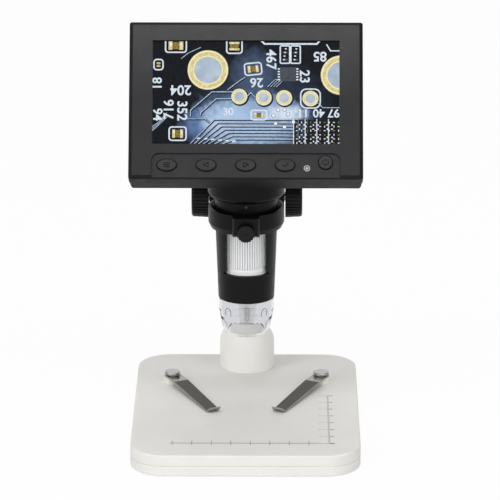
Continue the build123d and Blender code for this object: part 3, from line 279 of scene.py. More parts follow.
def black_grained():
    """Front face of the screen housing: matt black with a sparked grain, lighter than the shell as painted
    light from the front lamps, and with a painted sheen that fades from its top down, standing in for light
    falling from above.
    """
    finish = grained("black_grained", srgb(38, 38, 40), srgb(42, 42, 44), 0.46, 0.45 * MM, 0.030 * MM)
    # painted sheen: the specular level rises from the face's bottom to its top, standing in for light that
    # falls from above
    gloss = finish.between(finish.axis("Z"), 0.19, 0.43, painted_sheen_low_z * MM, painted_sheen_high_z * MM)
    finish.put("Specular IOR Level", gloss)
    return finish.material


def black_shell_painted_shade():
    """Bevels, sides and back of the housing: the face's black painted darker, as painted shade on the faces
    that turn away from the front lamps, with a coarser, duller grain.
    """
    return moulded("black_shell_painted_shade", srgb(21, 21, 23), srgb(26, 26, 28), 0.62, 0.6 * MM, 0.030 * MM,
                   Specular_IOR_Level=0.15)


def black_panel_painted_shade():
    """Sunk key panel: painted darker than the face round it, as painted shade low on the face and in its
    recess.
    """
    return moulded("black_panel_painted_shade", srgb(30, 30, 32), srgb(34, 34, 36), 0.50, 0.4 * MM, 0.012 * MM,
                   Specular_IOR_Level=0.30)


def black_satin():
    """Barrel and bracket: smoother black."""
    return moulded("black_satin", srgb(11, 11, 12), srgb(14, 14, 15), 0.36, 0.6 * MM, 0.006 * MM,
                   Specular_IOR_Level=0.13)


def black_knob():
    """Focus knobs and thumbscrew."""
    return moulded("black_knob", srgb(12, 12, 13), srgb(15, 15, 16), 0.38, 0.5 * MM, 0.008 * MM,
                   0.15 * MM, Specular_IOR_Level=0.22)


def black_button():
    """Keys."""
    return moulded("black_button", srgb(28, 28, 30), srgb(33, 33, 35), 0.46, 0.4 * MM, 0.012 * MM,
                   0.15 * MM, Specular_IOR_Level=0.35)


def white_base():
    """Base: off-white plastic with a fine grain."""
    return moulded("white_base", srgb(231, 229, 225), srgb(235, 233, 229), 0.50, 0.5 * MM, 0.012 * MM,
                   0.3 * MM)


def white_socket_painted_light():
    """Boot round the foot of the pole: smoother than the base and painted brighter, as painted light for the
    light it loses under the head.
    """
    return moulded("white_socket_painted_light", srgb(249, 247, 242), srgb(252, 250, 246), 0.42, 0.7 * MM, 0.008 * MM,
                   0.3 * MM)


def white_wheel_groove_shade():
    """Focus wheel: brighter white on its ribs and greyer at the bottom of its grooves, as painted shade in
    the grooves.
    """
    finish = Finish("white_wheel_groove_shade", srgb(246, 247, 247), 0.30)
    away = finish.math("SUBTRACT", finish.axis("Y"), barrel_y * MM)
    reach = finish.math("SQRT", finish.math("ADD", finish.square(away), finish.square(finish.axis("X"))))
    # painted shade: grey at the bottom of the grooves, white on the ribs
    height = finish.between(reach, 0.0, 1.0, wheel_groove * MM, wheel_rib * MM)
    finish.put("Base Color", finish.mix(height, srgb(206, 209, 212), srgb(251, 252, 252)))
    finish.put("Roughness", finish.between(finish.noise(0.8 * MM), 0.26, 0.34))
    finish.put("Normal", finish.soft_edge(0.1 * MM))
    return finish.material


def clear_plastic():
    """Nose cap: clear, with faint waves from moulding."""
    finish = Finish("clear_plastic", srgb(232, 233, 236), 0.03, IOR=1.15, Transmission_Weight=1.0)
    wavy = finish.noise(4 * MM, detail=2.0, stretch=(1, 1, 0.4))
    finish.put("Normal", finish.bump(wavy, 0.01 * MM))
    finish.put("Roughness", finish.between(finish.noise(3 * MM), 0.02, 0.06))
    return finish.material


def latch_plastic_painted_shade():
    """Moulded line in the clear cap: the same plastic painted grey and half clear, as painted shade for how
    it looks seen edge on.
    """
    finish = Finish("latch_plastic_painted_shade", srgb(150, 151, 155), 0.2, IOR=1.3, Transmission_Weight=0.5)
    finish.put("Roughness", finish.between(finish.noise(1 * MM), 0.15, 0.25))
    return finish.material


def coated_glass():
    """Lens with a violet coating."""
    finish = Finish("lens_glass", srgb(196, 216, 228), 0.02, IOR=1.52, Transmission_Weight=1.0)
    finish.put("Coat Weight", 0.6)
    finish.put("Coat Tint", srgb(150, 120, 220))
    finish.put("Roughness", finish.between(finish.noise(2 * MM), 0.01, 0.03))
    return finish.material


def metal(name, colour, roughness, brush=None, depth=0.004 * MM, edge=0.12 * MM, shade=0.86):
    """Bare or plated metal; brush stretches its fine lines along one direction."""
    finish = Finish(name, colour, roughness, Metallic=1.0)
    lines = finish.noise(0.9 * MM, detail=4.0, stretch=brush or (1, 1, 1))
    worn = tuple(c * shade for c in colour[:3]) + (1.0,)
    finish.put("Base Color", finish.mix(finish.between(lines, 0.0, 1.0), worn, colour))
    finish.put("Roughness", finish.between(lines, roughness * 0.8, roughness * 1.25))
    finish.put("Normal", finish.bump(lines, depth, finish.soft_edge(edge)))
    return finish.material


def rubber():
    """Feet."""
    return moulded("rubber", srgb(30, 30, 30), srgb(38, 38, 38), 0.80, 0.4 * MM, 0.03 * MM)


def bearing_plastic():
    """Bushes and brake pad."""
    return moulded("bearing_plastic", srgb(214, 209, 192), srgb(226, 222, 208), 0.38, 0.8 * MM,
                   0.006 * MM)


def dark_parts():
    """Cases of the electronic parts."""
    return moulded("dark_parts", srgb(26, 26, 27), srgb(33, 33, 34), 0.60, 0.5 * MM, 0.012 * MM,
                   0.1 * MM)


def circuit_board():
    """Green solder mask with copper runs showing through as a lighter tone."""
    finish = Finish("circuit_board", srgb(16, 88, 48), 0.38)
    runs = finish.add("ShaderNodeTexBrick")
    settings = {
        "Vector": finish.place, "Scale": 1 / (9 * MM), "Mortar Size": 0.06, "Bias": 0.0,
        "Color1": srgb(18, 92, 50), "Color2": srgb(12, 74, 40), "Mortar": srgb(44, 128, 70),
    }
    for socket, value in settings.items():
        finish.feed(value, runs.inputs[socket])
    finish.put("Base Color", runs.outputs["Color"])
    finish.put("Normal", finish.bump(runs.outputs["Fac"], 0.03 * MM, finish.soft_edge(0.1 * MM)))
    return finish.material


def lamp_lens():
    """White lamp case round its lens."""
    return moulded("lamp_lens", srgb(240, 238, 226), srgb(248, 246, 236), 0.25, 0.5 * MM, 0.002 * MM,
                   0.1 * MM)


def phosphor():
    """Yellow square behind a lamp's lens."""
    return moulded("phosphor", srgb(236, 196, 60), srgb(246, 216, 92), 0.35, 0.3 * MM, 0.004 * MM,
                   0.05 * MM)


def ribbon():
    """Amber polyimide with its conductors."""
    finish = Finish("ribbon", srgb(168, 102, 30), 0.35)
    lanes = finish.add("ShaderNodeTexWave", bands_direction="X")
    lanes.inputs["Scale"].default_value = 0.31 / (1.0 * MM)
    finish.feed(finish.place, lanes.inputs["Vector"])
    finish.put("Base Color", finish.mix(lanes.outputs["Fac"], srgb(150, 88, 26), srgb(196, 130, 52)))
    finish.put("Normal", finish.bump(lanes.outputs["Fac"], 0.02 * MM))
    return finish.material


def cell_wrap():
    """Silvery foil round the battery."""
    return moulded("cell_wrap", srgb(196, 198, 202), srgb(206, 208, 212), 0.32, 2.5 * MM, 0.05 * MM)


def indicator_window():
    """Pale window of the power light."""
    return moulded("indicator_window", srgb(150, 151, 152), srgb(166, 167, 168), 0.30, 0.4 * MM,
                   0.004 * MM, 0.08 * MM)


def panel_glass():
    """Unlit border of the display."""
    return moulded("panel_glass", srgb(9, 9, 11), srgb(12, 12, 14), 0.22, 0.8 * MM, 0.002 * MM)


def ink(name, level):
    """Printed ink with a slightly uneven coat."""
    finish = Finish(name, srgb(level, level, level), 0.55)
    patchy = finish.noise(1.2 * MM, detail=3.0)
    light = min(level + 26, 235)
    finish.put("Base Color", finish.mix(finish.between(patchy, 0.0, 1.0), srgb(level, level, level),
                                        srgb(light, light, light)))
    return finish.material


def lit(name, dark, light, grain):
    """Part of the display's picture: its own light, with the grain of a close-up."""
    finish = Finish(name, (0.002, 0.002, 0.002, 1.0), 0.35, Specular_IOR_Level=0.05)
    tone = finish.mix(finish.between(finish.noise(grain, detail=4.0), 0.0, 1.0), dark, light)
    finish.put("Emission Color", tone)
    finish.put("Emission Strength", 1.0)
    return finish


def board_picture(name):
    """Ground of the picture: dark solder mask with a pale glare low in the middle."""
    finish = lit(name, srgb(5, 7, 12), srgb(17, 22, 31), 1.5 * MM)
    ground = finish.shader.inputs["Emission Color"].links[0].from_socket
    for x, y, width, height, colour, strongest in (
            # clouds of glare: middle and half size in millimetres, colour, share of it at the middle
            (8, -6, 36, 26, srgb(42, 54, 74), 0.90),
            (4, 9, 13, 16, srgb(74, 92, 120), 0.80),
            (2, -14, 34, 16, srgb(98, 126, 168), 1.00),
            (-22, -17, 12, 10, srgb(98, 126, 174), 0.85),
            (-6, -11, 19, 8, srgb(176, 200, 230), 0.95),
            (12, -8, 17, 7, srgb(150, 176, 212), 0.85),
            (4, -20, 26, 10, srgb(168, 196, 230), 1.00),
            (-14, -17, 10, 6, srgb(186, 208, 236), 0.80),
            (20, -11, 12, 5, srgb(214, 228, 244), 0.95)):
        across = finish.math("DIVIDE", finish.math("SUBTRACT", finish.axis("X"), x * MM), width * MM)
        along = finish.math("DIVIDE", finish.math("SUBTRACT", finish.axis("Y"), y * MM), height * MM)
        away = finish.math("ADD", finish.square(across), finish.square(along))
        rough = finish.math("ADD", away, finish.between(finish.noise(3 * MM, detail=6.0), -0.22, 0.22))
        ground = finish.mix(finish.between(rough, strongest, 0.0, 0.05, 1.1), ground, colour)
    specks = finish.between(finish.cells(1.7 * MM), 0.55, 0.0, 0.05 * MM, 0.22 * MM)
    finish.put("Emission Color", finish.mix(specks, ground, srgb(150, 176, 208)))
    return finish.material


def lit_plain(name, dark, light, grain=0.8 * MM):
    """The same, as a bare material."""
    return lit(name, dark, light, grain).material


def slot_finishes():
    """The material of each of the record's slots."""
    return {
        "white_plastic": white_base(), "black_plastic": black_satin(), "wheel_plastic": white_wheel_groove_shade(),
        "clear_plastic": clear_plastic(), "lens_glass": coated_glass(), "display": panel_glass(),
        "chrome": metal("chrome", srgb(180, 181, 180), 0.13, depth=0.002 * MM, shade=0.90),
        "spring_steel": metal("spring_steel", srgb(178, 175, 168), 0.20, brush=(3, 3, 1)),
        "pole_steel": metal("pole_steel", srgb(244, 243, 239), 0.20, brush=(3, 3, 0.1), shade=0.92),
        "plate_steel": metal("plate_steel", srgb(150, 151, 153), 0.45),
        "screw_steel": metal("screw_steel", srgb(150, 150, 152), 0.30),
        "sheet_metal": metal("sheet_metal", srgb(186, 186, 184), 0.32),
        "rubber": rubber(), "bearing_plastic": bearing_plastic(), "circuit_board": circuit_board(),
        "dark_parts": dark_parts(), "lamp_lens": lamp_lens(), "ribbon": ribbon(),
        "cell_wrap": cell_wrap(), "indicator": indicator_window(),
    }


def node_finishes():
    """The nodes that look different from the rest of their slot."""
    shell, knob, key = black_shell_painted_shade(), black_knob(), black_button()
    finishes = {name: key for name in nodes if name.startswith("button_")}
    finishes.update(front_bezel=shell, rear_shell=shell, knob_left=knob, knob_right=knob, clamp_knob=knob,
                    pole_socket=white_socket_painted_light(), barrel_screws=metal("black_screw", srgb(74, 74, 76), 0.34))
    return finishes


def make_finishes():
    """Every CAD node's material."""
    by_slot, by_node = slot_finishes(), node_finishes()
    slot_of = {row["node"]: row["material_slot"] for row in frame["record"]["subparts"]}
    for name, piece in nodes.items():
        piece.data.materials.clear()
        piece.data.materials.append(by_node.get(name, by_slot[slot_of[name]]))
    paint_bezel()
    paint("rear_shell", by_slot["black_plastic"],
          lambda side: math.hypot(side.center.x, side.center.y - barrel_y * MM) < collar_radius * MM)
    paint_clip_shade()
    paint_lamps()


def paint_bezel():
    """The housing's face, with its painted sheen, and its sunk key panel, painted darker as shade; bevels
    and sides keep the shell's darker tone of painted shade.
    """
    facing = screen_facing()
    face = max(v.co.dot(facing) for v in nodes["front_bezel"].data.vertices)

    def between_depths(high, low):
        return lambda side: (side.normal.dot(facing) > facing_least and
                             high * MM < face - side.center.dot(facing) < low * MM)

    paint("front_bezel", black_grained(), between_depths(-face_skin, face_skin))
    paint("front_bezel", black_panel_painted_shade(), between_depths(panel_high, panel_low))


def paint_clip_shade():
    """The clips' slopes: the same steel painted darker than their flat ends, as a painted reflection of the
    dark room they face.
    """
    slope = metal("spring_steel_slope_painted_shade", srgb(118, 117, 113), 0.20, brush=(3, 3, 1))
    for name in ("clip_left", "clip_right"):
        paint(name, slope, lambda side: slope_least < abs(side.normal.z) < slope_most)


def paint_lamps():
    """Yellow lower ends of the lamps."""
    lens_z = min(v.co.z for v in nodes["led_lamps"].data.vertices) + phosphor_depth * MM
    paint("led_lamps", phosphor(), lambda side: side.center.z < lens_z)


def paint(name, material, chosen):
    """Give the chosen faces of a node another material."""
    data = nodes[name].data
    data.materials.append(material)
    for side in data.polygons:
        if chosen(side):
            side.material_index = len(data.materials) - 1


# ---------------------------------------------------------------- flat drawings
class Drawing:
    """Flat shapes in millimetres on one plane, each colour a little over the one before."""

    def __init__(self, materials, lift, step):
        self.mesh = bmesh.new()
        self.materials = materials
        self.lift = lift
        self.step = step

    def level(self, colour):
        return self.lift + self.step * colour

    def face(self, points, colour):
        corners = [self.mesh.verts.new((x, y, self.level(colour))) for x, y in points]
        self.mesh.faces.new(corners).material_index = colour

    def box(self, x, y, width, height, colour, turn=0.0):
        corners = [(-width / 2, -height / 2), (width / 2, -height / 2), (width / 2, height / 2),
                   (-width / 2, height / 2)]
        self.face([moved(u, v, x, y, turn) for u, v in corners], colour)

    def disc(self, x, y, radius, colour, sides=64):
        self.face([polar(x, y, radius, 360 * i / sides) for i in range(sides)], colour)

    def ring(self, x, y, inner, outer, colour, sides=64):
        for i in range(sides):
            a, b = 360 * i / sides, 360 * (i + 1) / sides
            self.face([polar(x, y, inner, a), polar(x, y, outer, a), polar(x, y, outer, b),
                       polar(x, y, inner, b)], colour)

    def line(self, points, width, colour, closed=False):
        """Line of one width through points, with mitred corners."""
        points = [Vector(p) for p in points]
        count = len(points)
        sides = []
        for i, here in enumerate(points):
            before = points[i - 1] if i or closed else None
            after = points[(i + 1) % count] if i < count - 1 or closed else None
            ways = [(here - before).normalized()] if before is not None else []
            ways += [(after - here).normalized()] if after is not None else []
            way = sum(ways, Vector((0, 0))).normalized()
            across = Vector((-way.y, way.x))
            reach = width / 2 / max(mitre_least, abs(across.dot(Vector((-ways[0].y, ways[0].x)))))
            sides.append((here + across * reach, here - across * reach))
        for i in range(count if closed else count - 1):
            (a, b), (c, d) = sides[i], sides[(i + 1) % count]
            self.face([a, b, d, c], colour)

    def outline(self, x, y, width, height, line, colour, corner=1.0, turn=0.0):
        """Rounded rectangle drawn as one line."""
        points = []
        for quarter, (sx, sy) in enumerate(((1, 1), (-1, 1), (-1, -1), (1, -1))):
            middle = (sx * (width / 2 - corner), sy * (height / 2 - corner))
            points += [polar(*middle, corner, 90 * quarter + 22.5 * k) for k in range(5)]
        self.line([moved(u, v, x, y, turn) for u, v in points], line, colour, closed=True)

    def numeral(self, text, x, y, size, colour, turn=0.0):
        """Plain figures, centred on a point."""
        curve = bpy.data.curves.new("numeral", "FONT")
        curve.body = text
        curve.size = size
        curve.offset = numeral_weight * size
        curve.align_x = "CENTER"
        curve.align_y = "CENTER"
        holder = bpy.data.objects.new("numeral", curve)
        flat = bpy.data.meshes.new_from_object(holder)
        spin = Matrix.Rotation(math.radians(turn), 4, "Z")
        flat.transform(Matrix.Translation((x, y, self.level(colour))) @ spin)
        known = len(self.mesh.faces)
        self.mesh.from_mesh(flat)
        self.mesh.faces.ensure_lookup_table()
        for face in self.mesh.faces[known:]:
            face.material_index = colour
        bpy.data.objects.remove(holder)
        bpy.data.curves.remove(curve)
        bpy.data.meshes.remove(flat)

    def crop(self, half_width, half_height):
        """Cut away what lies outside a rectangle round the origin."""
        for way in ((1, 0), (-1, 0), (0, 1), (0, -1)):
            edge = Vector((way[0] * half_width, way[1] * half_height, 0))
            everything = self.mesh.verts[:] + self.mesh.edges[:] + self.mesh.faces[:]
            bmesh.ops.bisect_plane(self.mesh, geom=everything, plane_co=edge,
                                   plane_no=(way[0], way[1], 0), clear_outer=True)

    def raise_by(self, height):
        """Give the flat shapes a thickness below them."""
        bmesh.ops.solidify(self.mesh, geom=self.mesh.faces[:], thickness=height)

    def finish(self, name, place, body, slot):
        """Turn the drawing into a piece on a plane, riding on a body."""
        data = bpy.data.meshes.new(name)
        bmesh.ops.scale(self.mesh, vec=(MM, MM, MM), verts=self.mesh.verts[:])
        self.mesh.to_mesh(data)
        self.mesh.free()
        for material in self.materials:
            data.materials.append(material)
        piece = bpy.data.objects.new(name, data)
        piece.matrix_world = place
        bpy.context.scene.collection.objects.link(piece)
        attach(piece, body)


def polar(x, y, radius, degrees):
    """Point on a circle round x, y."""
    angle = math.radians(degrees)
    return (x + radius * math.cos(angle), y + radius * math.sin(angle))


def moved(u, v, x, y, turn):
    """The point u, v of a shape that is turned and then laid at x, y."""
    angle = math.radians(turn)
    return (x + u * math.cos(angle) - v * math.sin(angle),
            y + u * math.sin(angle) + v * math.cos(angle))


# ---------------------------------------------------------------- places taken from the frame
def face_place(name, facing):
    """Plane on the outermost face of a node along a direction, with x along the row's X."""
    facing = Vector(facing).normalized()
    points = [v.co for v in nodes[name].data.vertices]
    reach = max(p.dot(facing) for p in points)
    front = [p for p in points if reach - p.dot(facing) < 0.01 * MM]
    up = facing.cross(Vector((1, 0, 0))).normalized()
    across = [p.x for p in points]
    along = [p.dot(up) for p in front]
    centre = Vector(((min(across) + max(across)) / 2, 0, 0)) + up * (min(along) + max(along)) / 2
    centre += facing * reach
    place = Matrix((Vector((1, 0, 0)), up, facing)).transposed().to_4x4()
    place.translation = centre
    return place


def screen_facing():
    """Outward normal of the display's front."""
    sides = sorted(nodes["lcd_panel"].data.polygons, key=lambda p: -p.area)
    return next(p.normal.copy() for p in sides if p.normal.y < 0)


# ---------------------------------------------------------------- screen picture
GROUND, TRACE_DARK, TRACE, PAD, PAPER, GOLD, GOLD_EDGE, HOLE, COPPER, CHIP, SPARK = range(11)


def picture_materials():
    return [
        board_picture("picture_ground"),
        lit_plain("picture_trace_shade", srgb(8, 12, 20), srgb(30, 42, 60)),
        lit_plain("picture_trace", srgb(138, 166, 202), srgb(226, 236, 246)),
        lit_plain("picture_pad", srgb(6, 8, 10), srgb(30, 34, 36)),
        lit_plain("picture_print", srgb(186, 204, 222), srgb(240, 246, 250)),
        lit_plain("picture_gold", srgb(196, 180, 112), srgb(236, 226, 168), 1.6 * MM),
        lit_plain("picture_gold_edge", srgb(232, 224, 180), srgb(252, 250, 230), 1.2 * MM),
        lit_plain("picture_hole", srgb(156, 174, 192), srgb(190, 204, 216), 6 * MM),
        lit_plain("picture_copper", srgb(84, 72, 32), srgb(168, 146, 80)),
        lit_plain("picture_chip", srgb(44, 48, 54), srgb(92, 98, 106), 0.5 * MM),
        lit_plain("picture_spark", srgb(206, 218, 234), srgb(255, 255, 255)),
    ]


def drilled_pad(drawing, x, y, outer, hole, lip):
    """Gold ring round a drilled hole; lip is the width of its bright rims."""
    drawing.disc(x + 0.35, y - 0.35, outer + 0.5, TRACE_DARK)
    drawing.disc(x, y, outer, GOLD)
    drawing.ring(x, y, outer - 1.6 * lip, outer - 0.6 * lip, GOLD_EDGE)
    drawing.ring(x, y, hole + 0.4 * lip, hole + 1.2 * lip, GOLD_EDGE)
    drawing.disc(x, y, hole + 0.4 * lip, PAD)
    drawing.disc(x + 0.12 * lip, y - 0.12 * lip, hole, HOLE)


def run(drawing, points, width=0.5):
    """A copper run: dark sides, and a lit edge along its top."""
    drawing.line([(x + 0.10, y - 0.12) for x, y in points], width + 0.60, TRACE_DARK)
    drawing.line([(x - 0.10, y + 0.14) for x, y in points], 0.72 * width, TRACE)


def small_part(drawing, x, y, length, width, turn=0.0):
    """Two-ended part inside its printed outline."""
    drawing.outline(x, y, length + 3.0, width + 2.6, 0.75, PAPER, corner=1.4, turn=turn)
    drawing.box(x, y, length, width, PAD, turn)
    for side in (-1, 1):
        end = moved(side * length * 0.36, 0, x, y, turn)
        drawing.box(*end, length * 0.26, width, GOLD, turn)
        glint = moved(side * length * 0.34, width * 0.2, x, y, turn)
        drawing.box(*glint, length * 0.12, width * 0.3, SPARK, turn)
    drawing.box(x, y, length * 0.42, width * 0.86, COPPER, turn)


def draw_runs(drawing):
    """Copper runs: a wide bundle low in the picture and single ones round the pads."""
    for i in range(7):
        step = 1.7 * i
        run(drawing, [(-31 + step, -30), (-16 + 1.1 * step, -14.4 - step), (25, -14.4 - step)], 0.42)
    run(drawing, [(-30.5, -14.0), (-20.5, -14.0), (-17.8, -16.4)], 0.4)
    run(drawing, [(-28.0, -12.6), (-28.0, -9.4), (-17.2, 0.2), (-6.4, 0.2)], 0.55)
    run(drawing, [(-23.0, -12.2), (-23.0, -10.8), (-15.0, -3.4), (-6.4, -3.4)], 0.55)
    run(drawing, [(-9.4, 1.2), (-3.0, 6.2), (-0.4, 7.8)], 0.5)
    run(drawing, [(0.4, -2.4), (2.6, -0.2), (4.6, -2.4)], 0.5)
    for i in range(4):
        step = 1.5 * i
        run(drawing, [(11 + step, 2.8), (15 + step, 6.8), (18 + 0.6 * step, 6.8 + 0.4 * step)], 0.36)
    for i in range(3):
        step = 1.1 * i
        bend = (-45.2 + 0.3 * step, -18.2 + step)
        run(drawing, [(-48, -20.6 + step), bend, (-40.0, -13.0 + step)], 0.4)
    run(drawing, [(36.6, -5.6), (39.2, -8.0), (48, -8.0)], 0.45)
    run(drawing, [(-33.0, 17.6), (-29.4, 20.6), (-23.0, 23.6)], 0.4)


def draw_parts(drawing):
    """Mounted parts with their printed outlines, and small plated holes."""
    small_part(drawing, -35.8, 24.6, 7.6, 4.4)
    small_part(drawing, -6.0, 24.4, 4.6, 5.2, 90)
    small_part(drawing, 3.6, 12.4, 5.6, 3.6, 6)
    small_part(drawing, 6.6, -11.8, 5.0, 2.4)
    small_part(drawing, -34.6, -21.6, 5.6, 4.4)
    small_part(drawing, -44.6, 14.6, 2.4, 2.0, 90)
    for x in (19.8, 25.2):
        drawing.outline(x, 20.0, 4.8, 9.2, 0.7, PAPER, corner=0.6)
        for k in range(4):
            drawing.box(x, 17.2 + 1.9 * k, 2.6, 1.2, PAD if k % 2 else CHIP)
            drawing.box(x - 0.5 + 0.3 * k, 17.3 + 1.9 * k, 0.9, 0.6, SPARK)
    drawing.line([(7.6, 27.4), (9.4, 25.6), (36, 25.6), (37.6, 27.4)], 0.9, PAPER)
    drawing.line([(41, 25.4), (43, 22.0), (48, 22.0)], 0.6, PAPER)
    drawing.box(21.4, 9.6, 8.0, 7.4, CHIP)
    for i in range(5):
        for side in (-1, 1):
            drawing.box(21.4 + side * 4.7, 6.8 + 1.4 * i, 1.1, 0.7, SPARK)
    draw_dense_parts(drawing)
    for i in range(7):
        x, y = polar(18.6, -12.4, 3.0 + 0.55 * i, 52 * i + 20)
        drawing.disc(x, y, 1.05, TRACE_DARK, 24)
        drawing.disc(x, y, 0.85, SPARK, 24)
        drawing.disc(x, y, 0.42, PAD, 16)
    for i in range(6):
        drawing.box(-24 + 3.6 * i, -24.0 - 0.3 * i, 1.8, 0.6, SPARK, 14)


def draw_dense_parts(drawing):
    """A field of tiny parts low on the right, in four columns."""
    for column in range(10):
        for row in range(6):
            x, y = 25.4 + 2.35 * column, -15.2 - 2.15 * row
            upright = 90 * ((column + row) % 2)
            upper = SPARK if (column * row) % 3 else TRACE
            lower = PAPER if (column + 2 * row) % 3 else COPPER
            drawing.box(x, y, 2.2, 1.9, PAD, upright)
            drawing.box(x - 0.5, y + 0.4, 0.9, 0.55, upper, upright)
            drawing.box(x + 0.5, y - 0.4, 1.0, 0.45, lower, upright)
    for column in range(4):
        drawing.line([(24.2 + 5.9 * column, -13.8), (24.2 + 5.9 * column, -27)], 0.45, PAPER)


def make_picture():
    """Generic close-up of a circuit board on the display."""
    place = face_place("lcd_panel", screen_facing())
    drawing = Drawing(picture_materials(), picture_lift, layer_step)
    drawing.box(0, 0, picture_width, picture_height, GROUND)
    draw_runs(drawing)
    for x, y in ((-19.4, 11.8), (48.4, 9.2)):
        drilled_pad(drawing, x, y, 10.4, 6.9, 0.55)
    for x, y in ((-3.4, -2.1), (9.0, -2.7), (19.4, -2.8), (32.8, -3.1)):
        drilled_pad(drawing, x, y, 4.1, 2.5, 0.4)
    drawing.outline(32.8, -3.1, 9.9, 9.9, 0.7, PAPER, corner=2.8)
    draw_parts(drawing)
    for text, x, y, size, turn in (
            ("204", -33.2, 1.4, 7.2, 180), ("716", -39.0, -9.0, 7.0, 90),
            ("352", -32.6, -9.6, 7.0, 270), ("18", -45.0, 4.6, 6.6, 90),
            ("94", -45.0, -11.6, 6.6, 270), ("467", 12.6, 17.4, 7.0, 270),
            ("23", 29.6, 8.4, 7.0, 270), ("85", 37.6, 19.2, 7.0, 180),
            ("26", 5.4, 5.4, 6.8, 180), ("11", 29.0, -10.6, 6.0, 180),
            ("40", 37.0, -10.6, 6.0, 180), ("97", 44.6, -10.6, 6.0, 180),
            ("30", -9.0, -10.2, 5.4, 0)):
        drawing.numeral(text, x, y, size, PAPER, turn)
    drawing.crop(picture_width / 2, picture_height / 2)
    drawing.finish("screen_picture", place, "scope", "display")


# ---------------------------------------------------------------- marks on the keys
def make_button_marks():
    """Raised generic marks on the keys: lines, triangles, a tick and a power sign."""
    glyph = moulded("key_mark", srgb(20, 20, 21), srgb(24, 24, 25), 0.34, 0.3 * MM, 0.002 * MM,
                    0.04 * MM)
    facing = screen_facing()
    marks = {
        "menu": [[(-1.6, 0.9), (1.6, 0.9)], [(-1.6, 0.0), (1.6, 0.0)], [(-1.6, -0.9), (1.6, -0.9)]],
        "left": [[(1.0, 1.2), (-1.4, 0.0), (1.0, -1.2), (1.0, 1.2)]],
        "right": [[(-1.0, 1.2), (1.4, 0.0), (-1.0, -1.2), (-1.0, 1.2)]],
        "ok": [[(-1.4, 0.1), (-0.3, -1.0), (1.6, 1.1)]],
        "power": [[(0.0, 0.3), (0.0, 1.7)], [polar(0, 0, 1.5, 125 + 290 / 18 * i) for i in range(19)]],
    }
    for name, strokes in marks.items():
        key = "button_" + name
        drawing = Drawing([glyph], mark_lift, 0.0)
        for points in strokes:
            drawing.line(points, mark_line, 0)
        drawing.raise_by(mark_height)
        drawing.finish("mark_" + name, face_place(key, facing), key, "black_plastic")


def make_indicator_mark():
    """Dark ring of painted shade, for a well, round a pale lamp in the indicator's window."""
    drawing = Drawing([ink("indicator_well_painted_shade", 70), ink("indicator_lamp", 176)], ink_lift, ink_step)
    drawing.ring(0, 0, 0.62, 1.15, 0, 40)
    drawing.disc(-0.1, -0.1, 0.45, 1, 32)
    place = face_place("indicator_lens", screen_facing())
    drawing.finish("indicator_mark", place, "scope", "indicator")


# ---------------------------------------------------------------- latches of the clear cap
def make_latches():
    """Two arched latches moulded on the inside of the clear cap, which they follow by rays to its wall."""
    cap = nodes["clear_cap"].data
    wall = BVHTree.FromPolygons([v.co for v in cap.vertices], [p.vertices for p in cap.polygons])
    plastic = latch_plastic_painted_shade()
    middle_z = (latch_foot + latch_top) / 2
    rise = latch_top - middle_z
    for side, name in ((-1, "cap_latch_left"), (1, "cap_latch_right")):
        curve = bpy.data.curves.new(name, "CURVE")
        curve.dimensions = "3D"
        curve.bevel_depth = latch_thickness * MM
        curve.bevel_resolution = 3
        curve.use_fill_caps = True
        arch = curve.splines.new("NURBS")
        arch.points.add(latch_steps)
        for i in range(latch_steps + 1):
            angle = math.pi * i / latch_steps
            across = latch_half_width * math.cos(angle)
            z = latch_foot if i in (0, latch_steps) else middle_z + rise * math.sin(angle)
            turn = math.radians(side * latch_turn) + across * side / cap_inside
            way = Vector((math.sin(turn), -math.cos(turn), 0))
            start = Vector((0, barrel_y * MM, z * MM))
            reach = wall.ray_cast(start, way)[3] - latch_inset * MM
            arch.points[i].co = (start + way * reach).to_4d()
        arch.order_u = 3
        arch.use_endpoint_u = True
        curve.materials.append(plastic)
        piece = bpy.data.objects.new(name, curve)
        bpy.context.scene.collection.objects.link(piece)
        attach(piece, "scope")


# ---------------------------------------------------------------- printed scale
def make_scale():
    """Centimetre scale along the base's front and its right side, as thin grey ink."""
    drawing = Drawing([ink("scale_ink", 150), ink("scale_ink_light", 186)], ink_lift, ink_step)
    drawing.line([(scale_left, scale_y), (scale_right, scale_y)], front_line, 0)
    for i in range(scale_count):
        x = scale_first + centimetre * i
        drawing.line([(x, scale_y - tick_below), (x, scale_y + tick_above)], tick_line, 0)
        fine_ticks = centimetre - 1 if i < scale_count - 1 else scale_last_ticks
        for k in range(1, fine_ticks + 1):
            top = scale_y + (half_tick if k == centimetre / 2 else fine_tick)
            drawing.line([(x + k, scale_y), (x + k, top)], fine_line, 1)
    drawing.line([(upright_x, scale_y), (upright_x, upright_top)], bold_line, 1)
    for i in range(scale_count):
        y = scale_y + centimetre * i
        drawing.line([(upright_x, y), (upright_x + cross_right, y)], bold_line, 0)
        drawing.line([(upright_x - cross_left, y), (upright_x, y)], cross_line, 1)
    place = Matrix.Translation((0, 0, stage_z * MM))
    drawing.finish("printed_scale", place, "stand", "white_plastic")


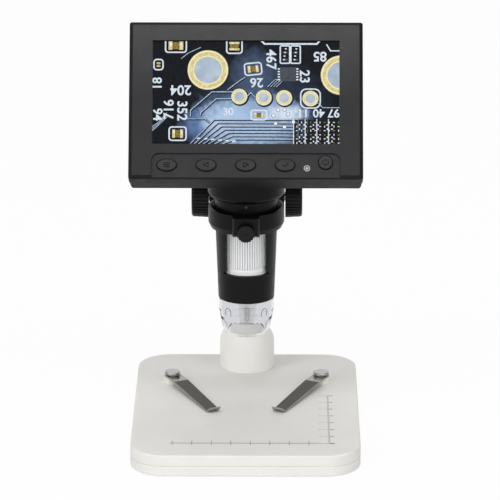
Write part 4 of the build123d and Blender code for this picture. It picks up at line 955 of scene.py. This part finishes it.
# ---------------------------------------------------------------- stage, light, camera
def make_floor():
    """A pale floor that keeps the object's shadow, and that camera, gloss and glass see nearly as white."""
    data = bpy.data.meshes.new("floor")
    mesh = bmesh.new()
    bmesh.ops.create_grid(mesh, x_segments=1, y_segments=1, size=floor_size / 2)
    mesh.to_mesh(data)
    mesh.free()
    floor = bpy.data.objects.new("floor", data)
    bpy.context.scene.collection.objects.link(floor)
    finish = Finish("floor", (floor_colour, floor_colour, floor_colour, 1.0), 0.9)
    glow = finish.add("ShaderNodeEmission")
    glow.inputs["Strength"].default_value = 1.0
    seen = finish.math("MAXIMUM", *finish.rays())
    blend = finish.add("ShaderNodeMixShader")
    finish.feed(finish.math("MULTIPLY", seen, floor_glow), blend.inputs["Fac"])
    finish.feed(finish.shader.outputs["BSDF"], blend.inputs[1])
    finish.feed(glow.outputs["Emission"], blend.inputs[2])
    finish.feed(blend.outputs["Shader"], finish.tree.nodes["Material Output"].inputs["Surface"])
    data.materials.append(finish.material)


def make_world():
    """A studio: white wall in front of the object, dark screens at its sides, white backdrop behind.

    The camera sees plain white. Gloss and glass see the studio with its backdrop.
    """
    world = bpy.data.worlds.new("studio")
    bpy.context.scene.world = world
    studio = Tree(world)
    back = studio.tree.nodes["Background"]
    back.inputs["Color"].default_value = (1.0, 1.0, 1.0, 1.0)
    way = studio.parts(studio.add("ShaderNodeTexCoord").outputs["Generated"])

    def fade(axis, limits, low, high):
        return studio.between(way[axis], low, high, *limits, curve="SMOOTHSTEP")

    front = fade("Y", front_fade, front_level, room_level)
    wall = fade("Z", front_top, front, room_level)
    left = fade("X", left_fade, left_level, wall)
    room = fade("X", right_fade, left, right_level)
    backdrop = studio.math("MULTIPLY", fade("Y", backdrop_fade, 0.0, 1.0), fade("Z", backdrop_top, 1.0, 0.0))
    camera, shiny = studio.rays()
    level = studio.math("MAXIMUM", room, studio.math("MULTIPLY", backdrop, shiny))
    studio.feed(studio.math("MAXIMUM", level, camera), back.inputs["Strength"])


def make_lamps():
    """Soft boxes in front, at both sides and overhead."""
    for name, place, watts, width, height in lamps:
        data = bpy.data.lights.new(name, "AREA")
        data.shape = "RECTANGLE"
        data.size = width
        data.size_y = height
        data.energy = watts
        lamp = bpy.data.objects.new(name, data)
        lamp.location = place
        lamp.rotation_euler = (Vector(lamp_aim) - Vector(place)).to_track_quat("-Z", "Y").to_euler()
        bpy.context.scene.collection.objects.link(lamp)


def make_camera():
    """The photograph's view."""
    data = bpy.data.cameras.new("camera")
    data.lens = camera_lens
    data.sensor_width = camera_sensor
    data.clip_start = camera_near
    data.clip_end = camera_far
    camera = bpy.data.objects.new("camera", data)
    camera.location = camera_place
    camera.rotation_euler = (math.radians(90 - camera_pitch), 0, math.radians(camera_yaw))
    bpy.context.scene.collection.objects.link(camera)
    bpy.context.scene.camera = camera


# ---------------------------------------------------------------- make everything
bpy.context.scene.view_settings.view_transform = "Standard"
make_camera()
make_world()
make_lamps()
make_floor()
make_finishes()
make_picture()
make_button_marks()
make_indicator_mark()
make_latches()
make_scale()
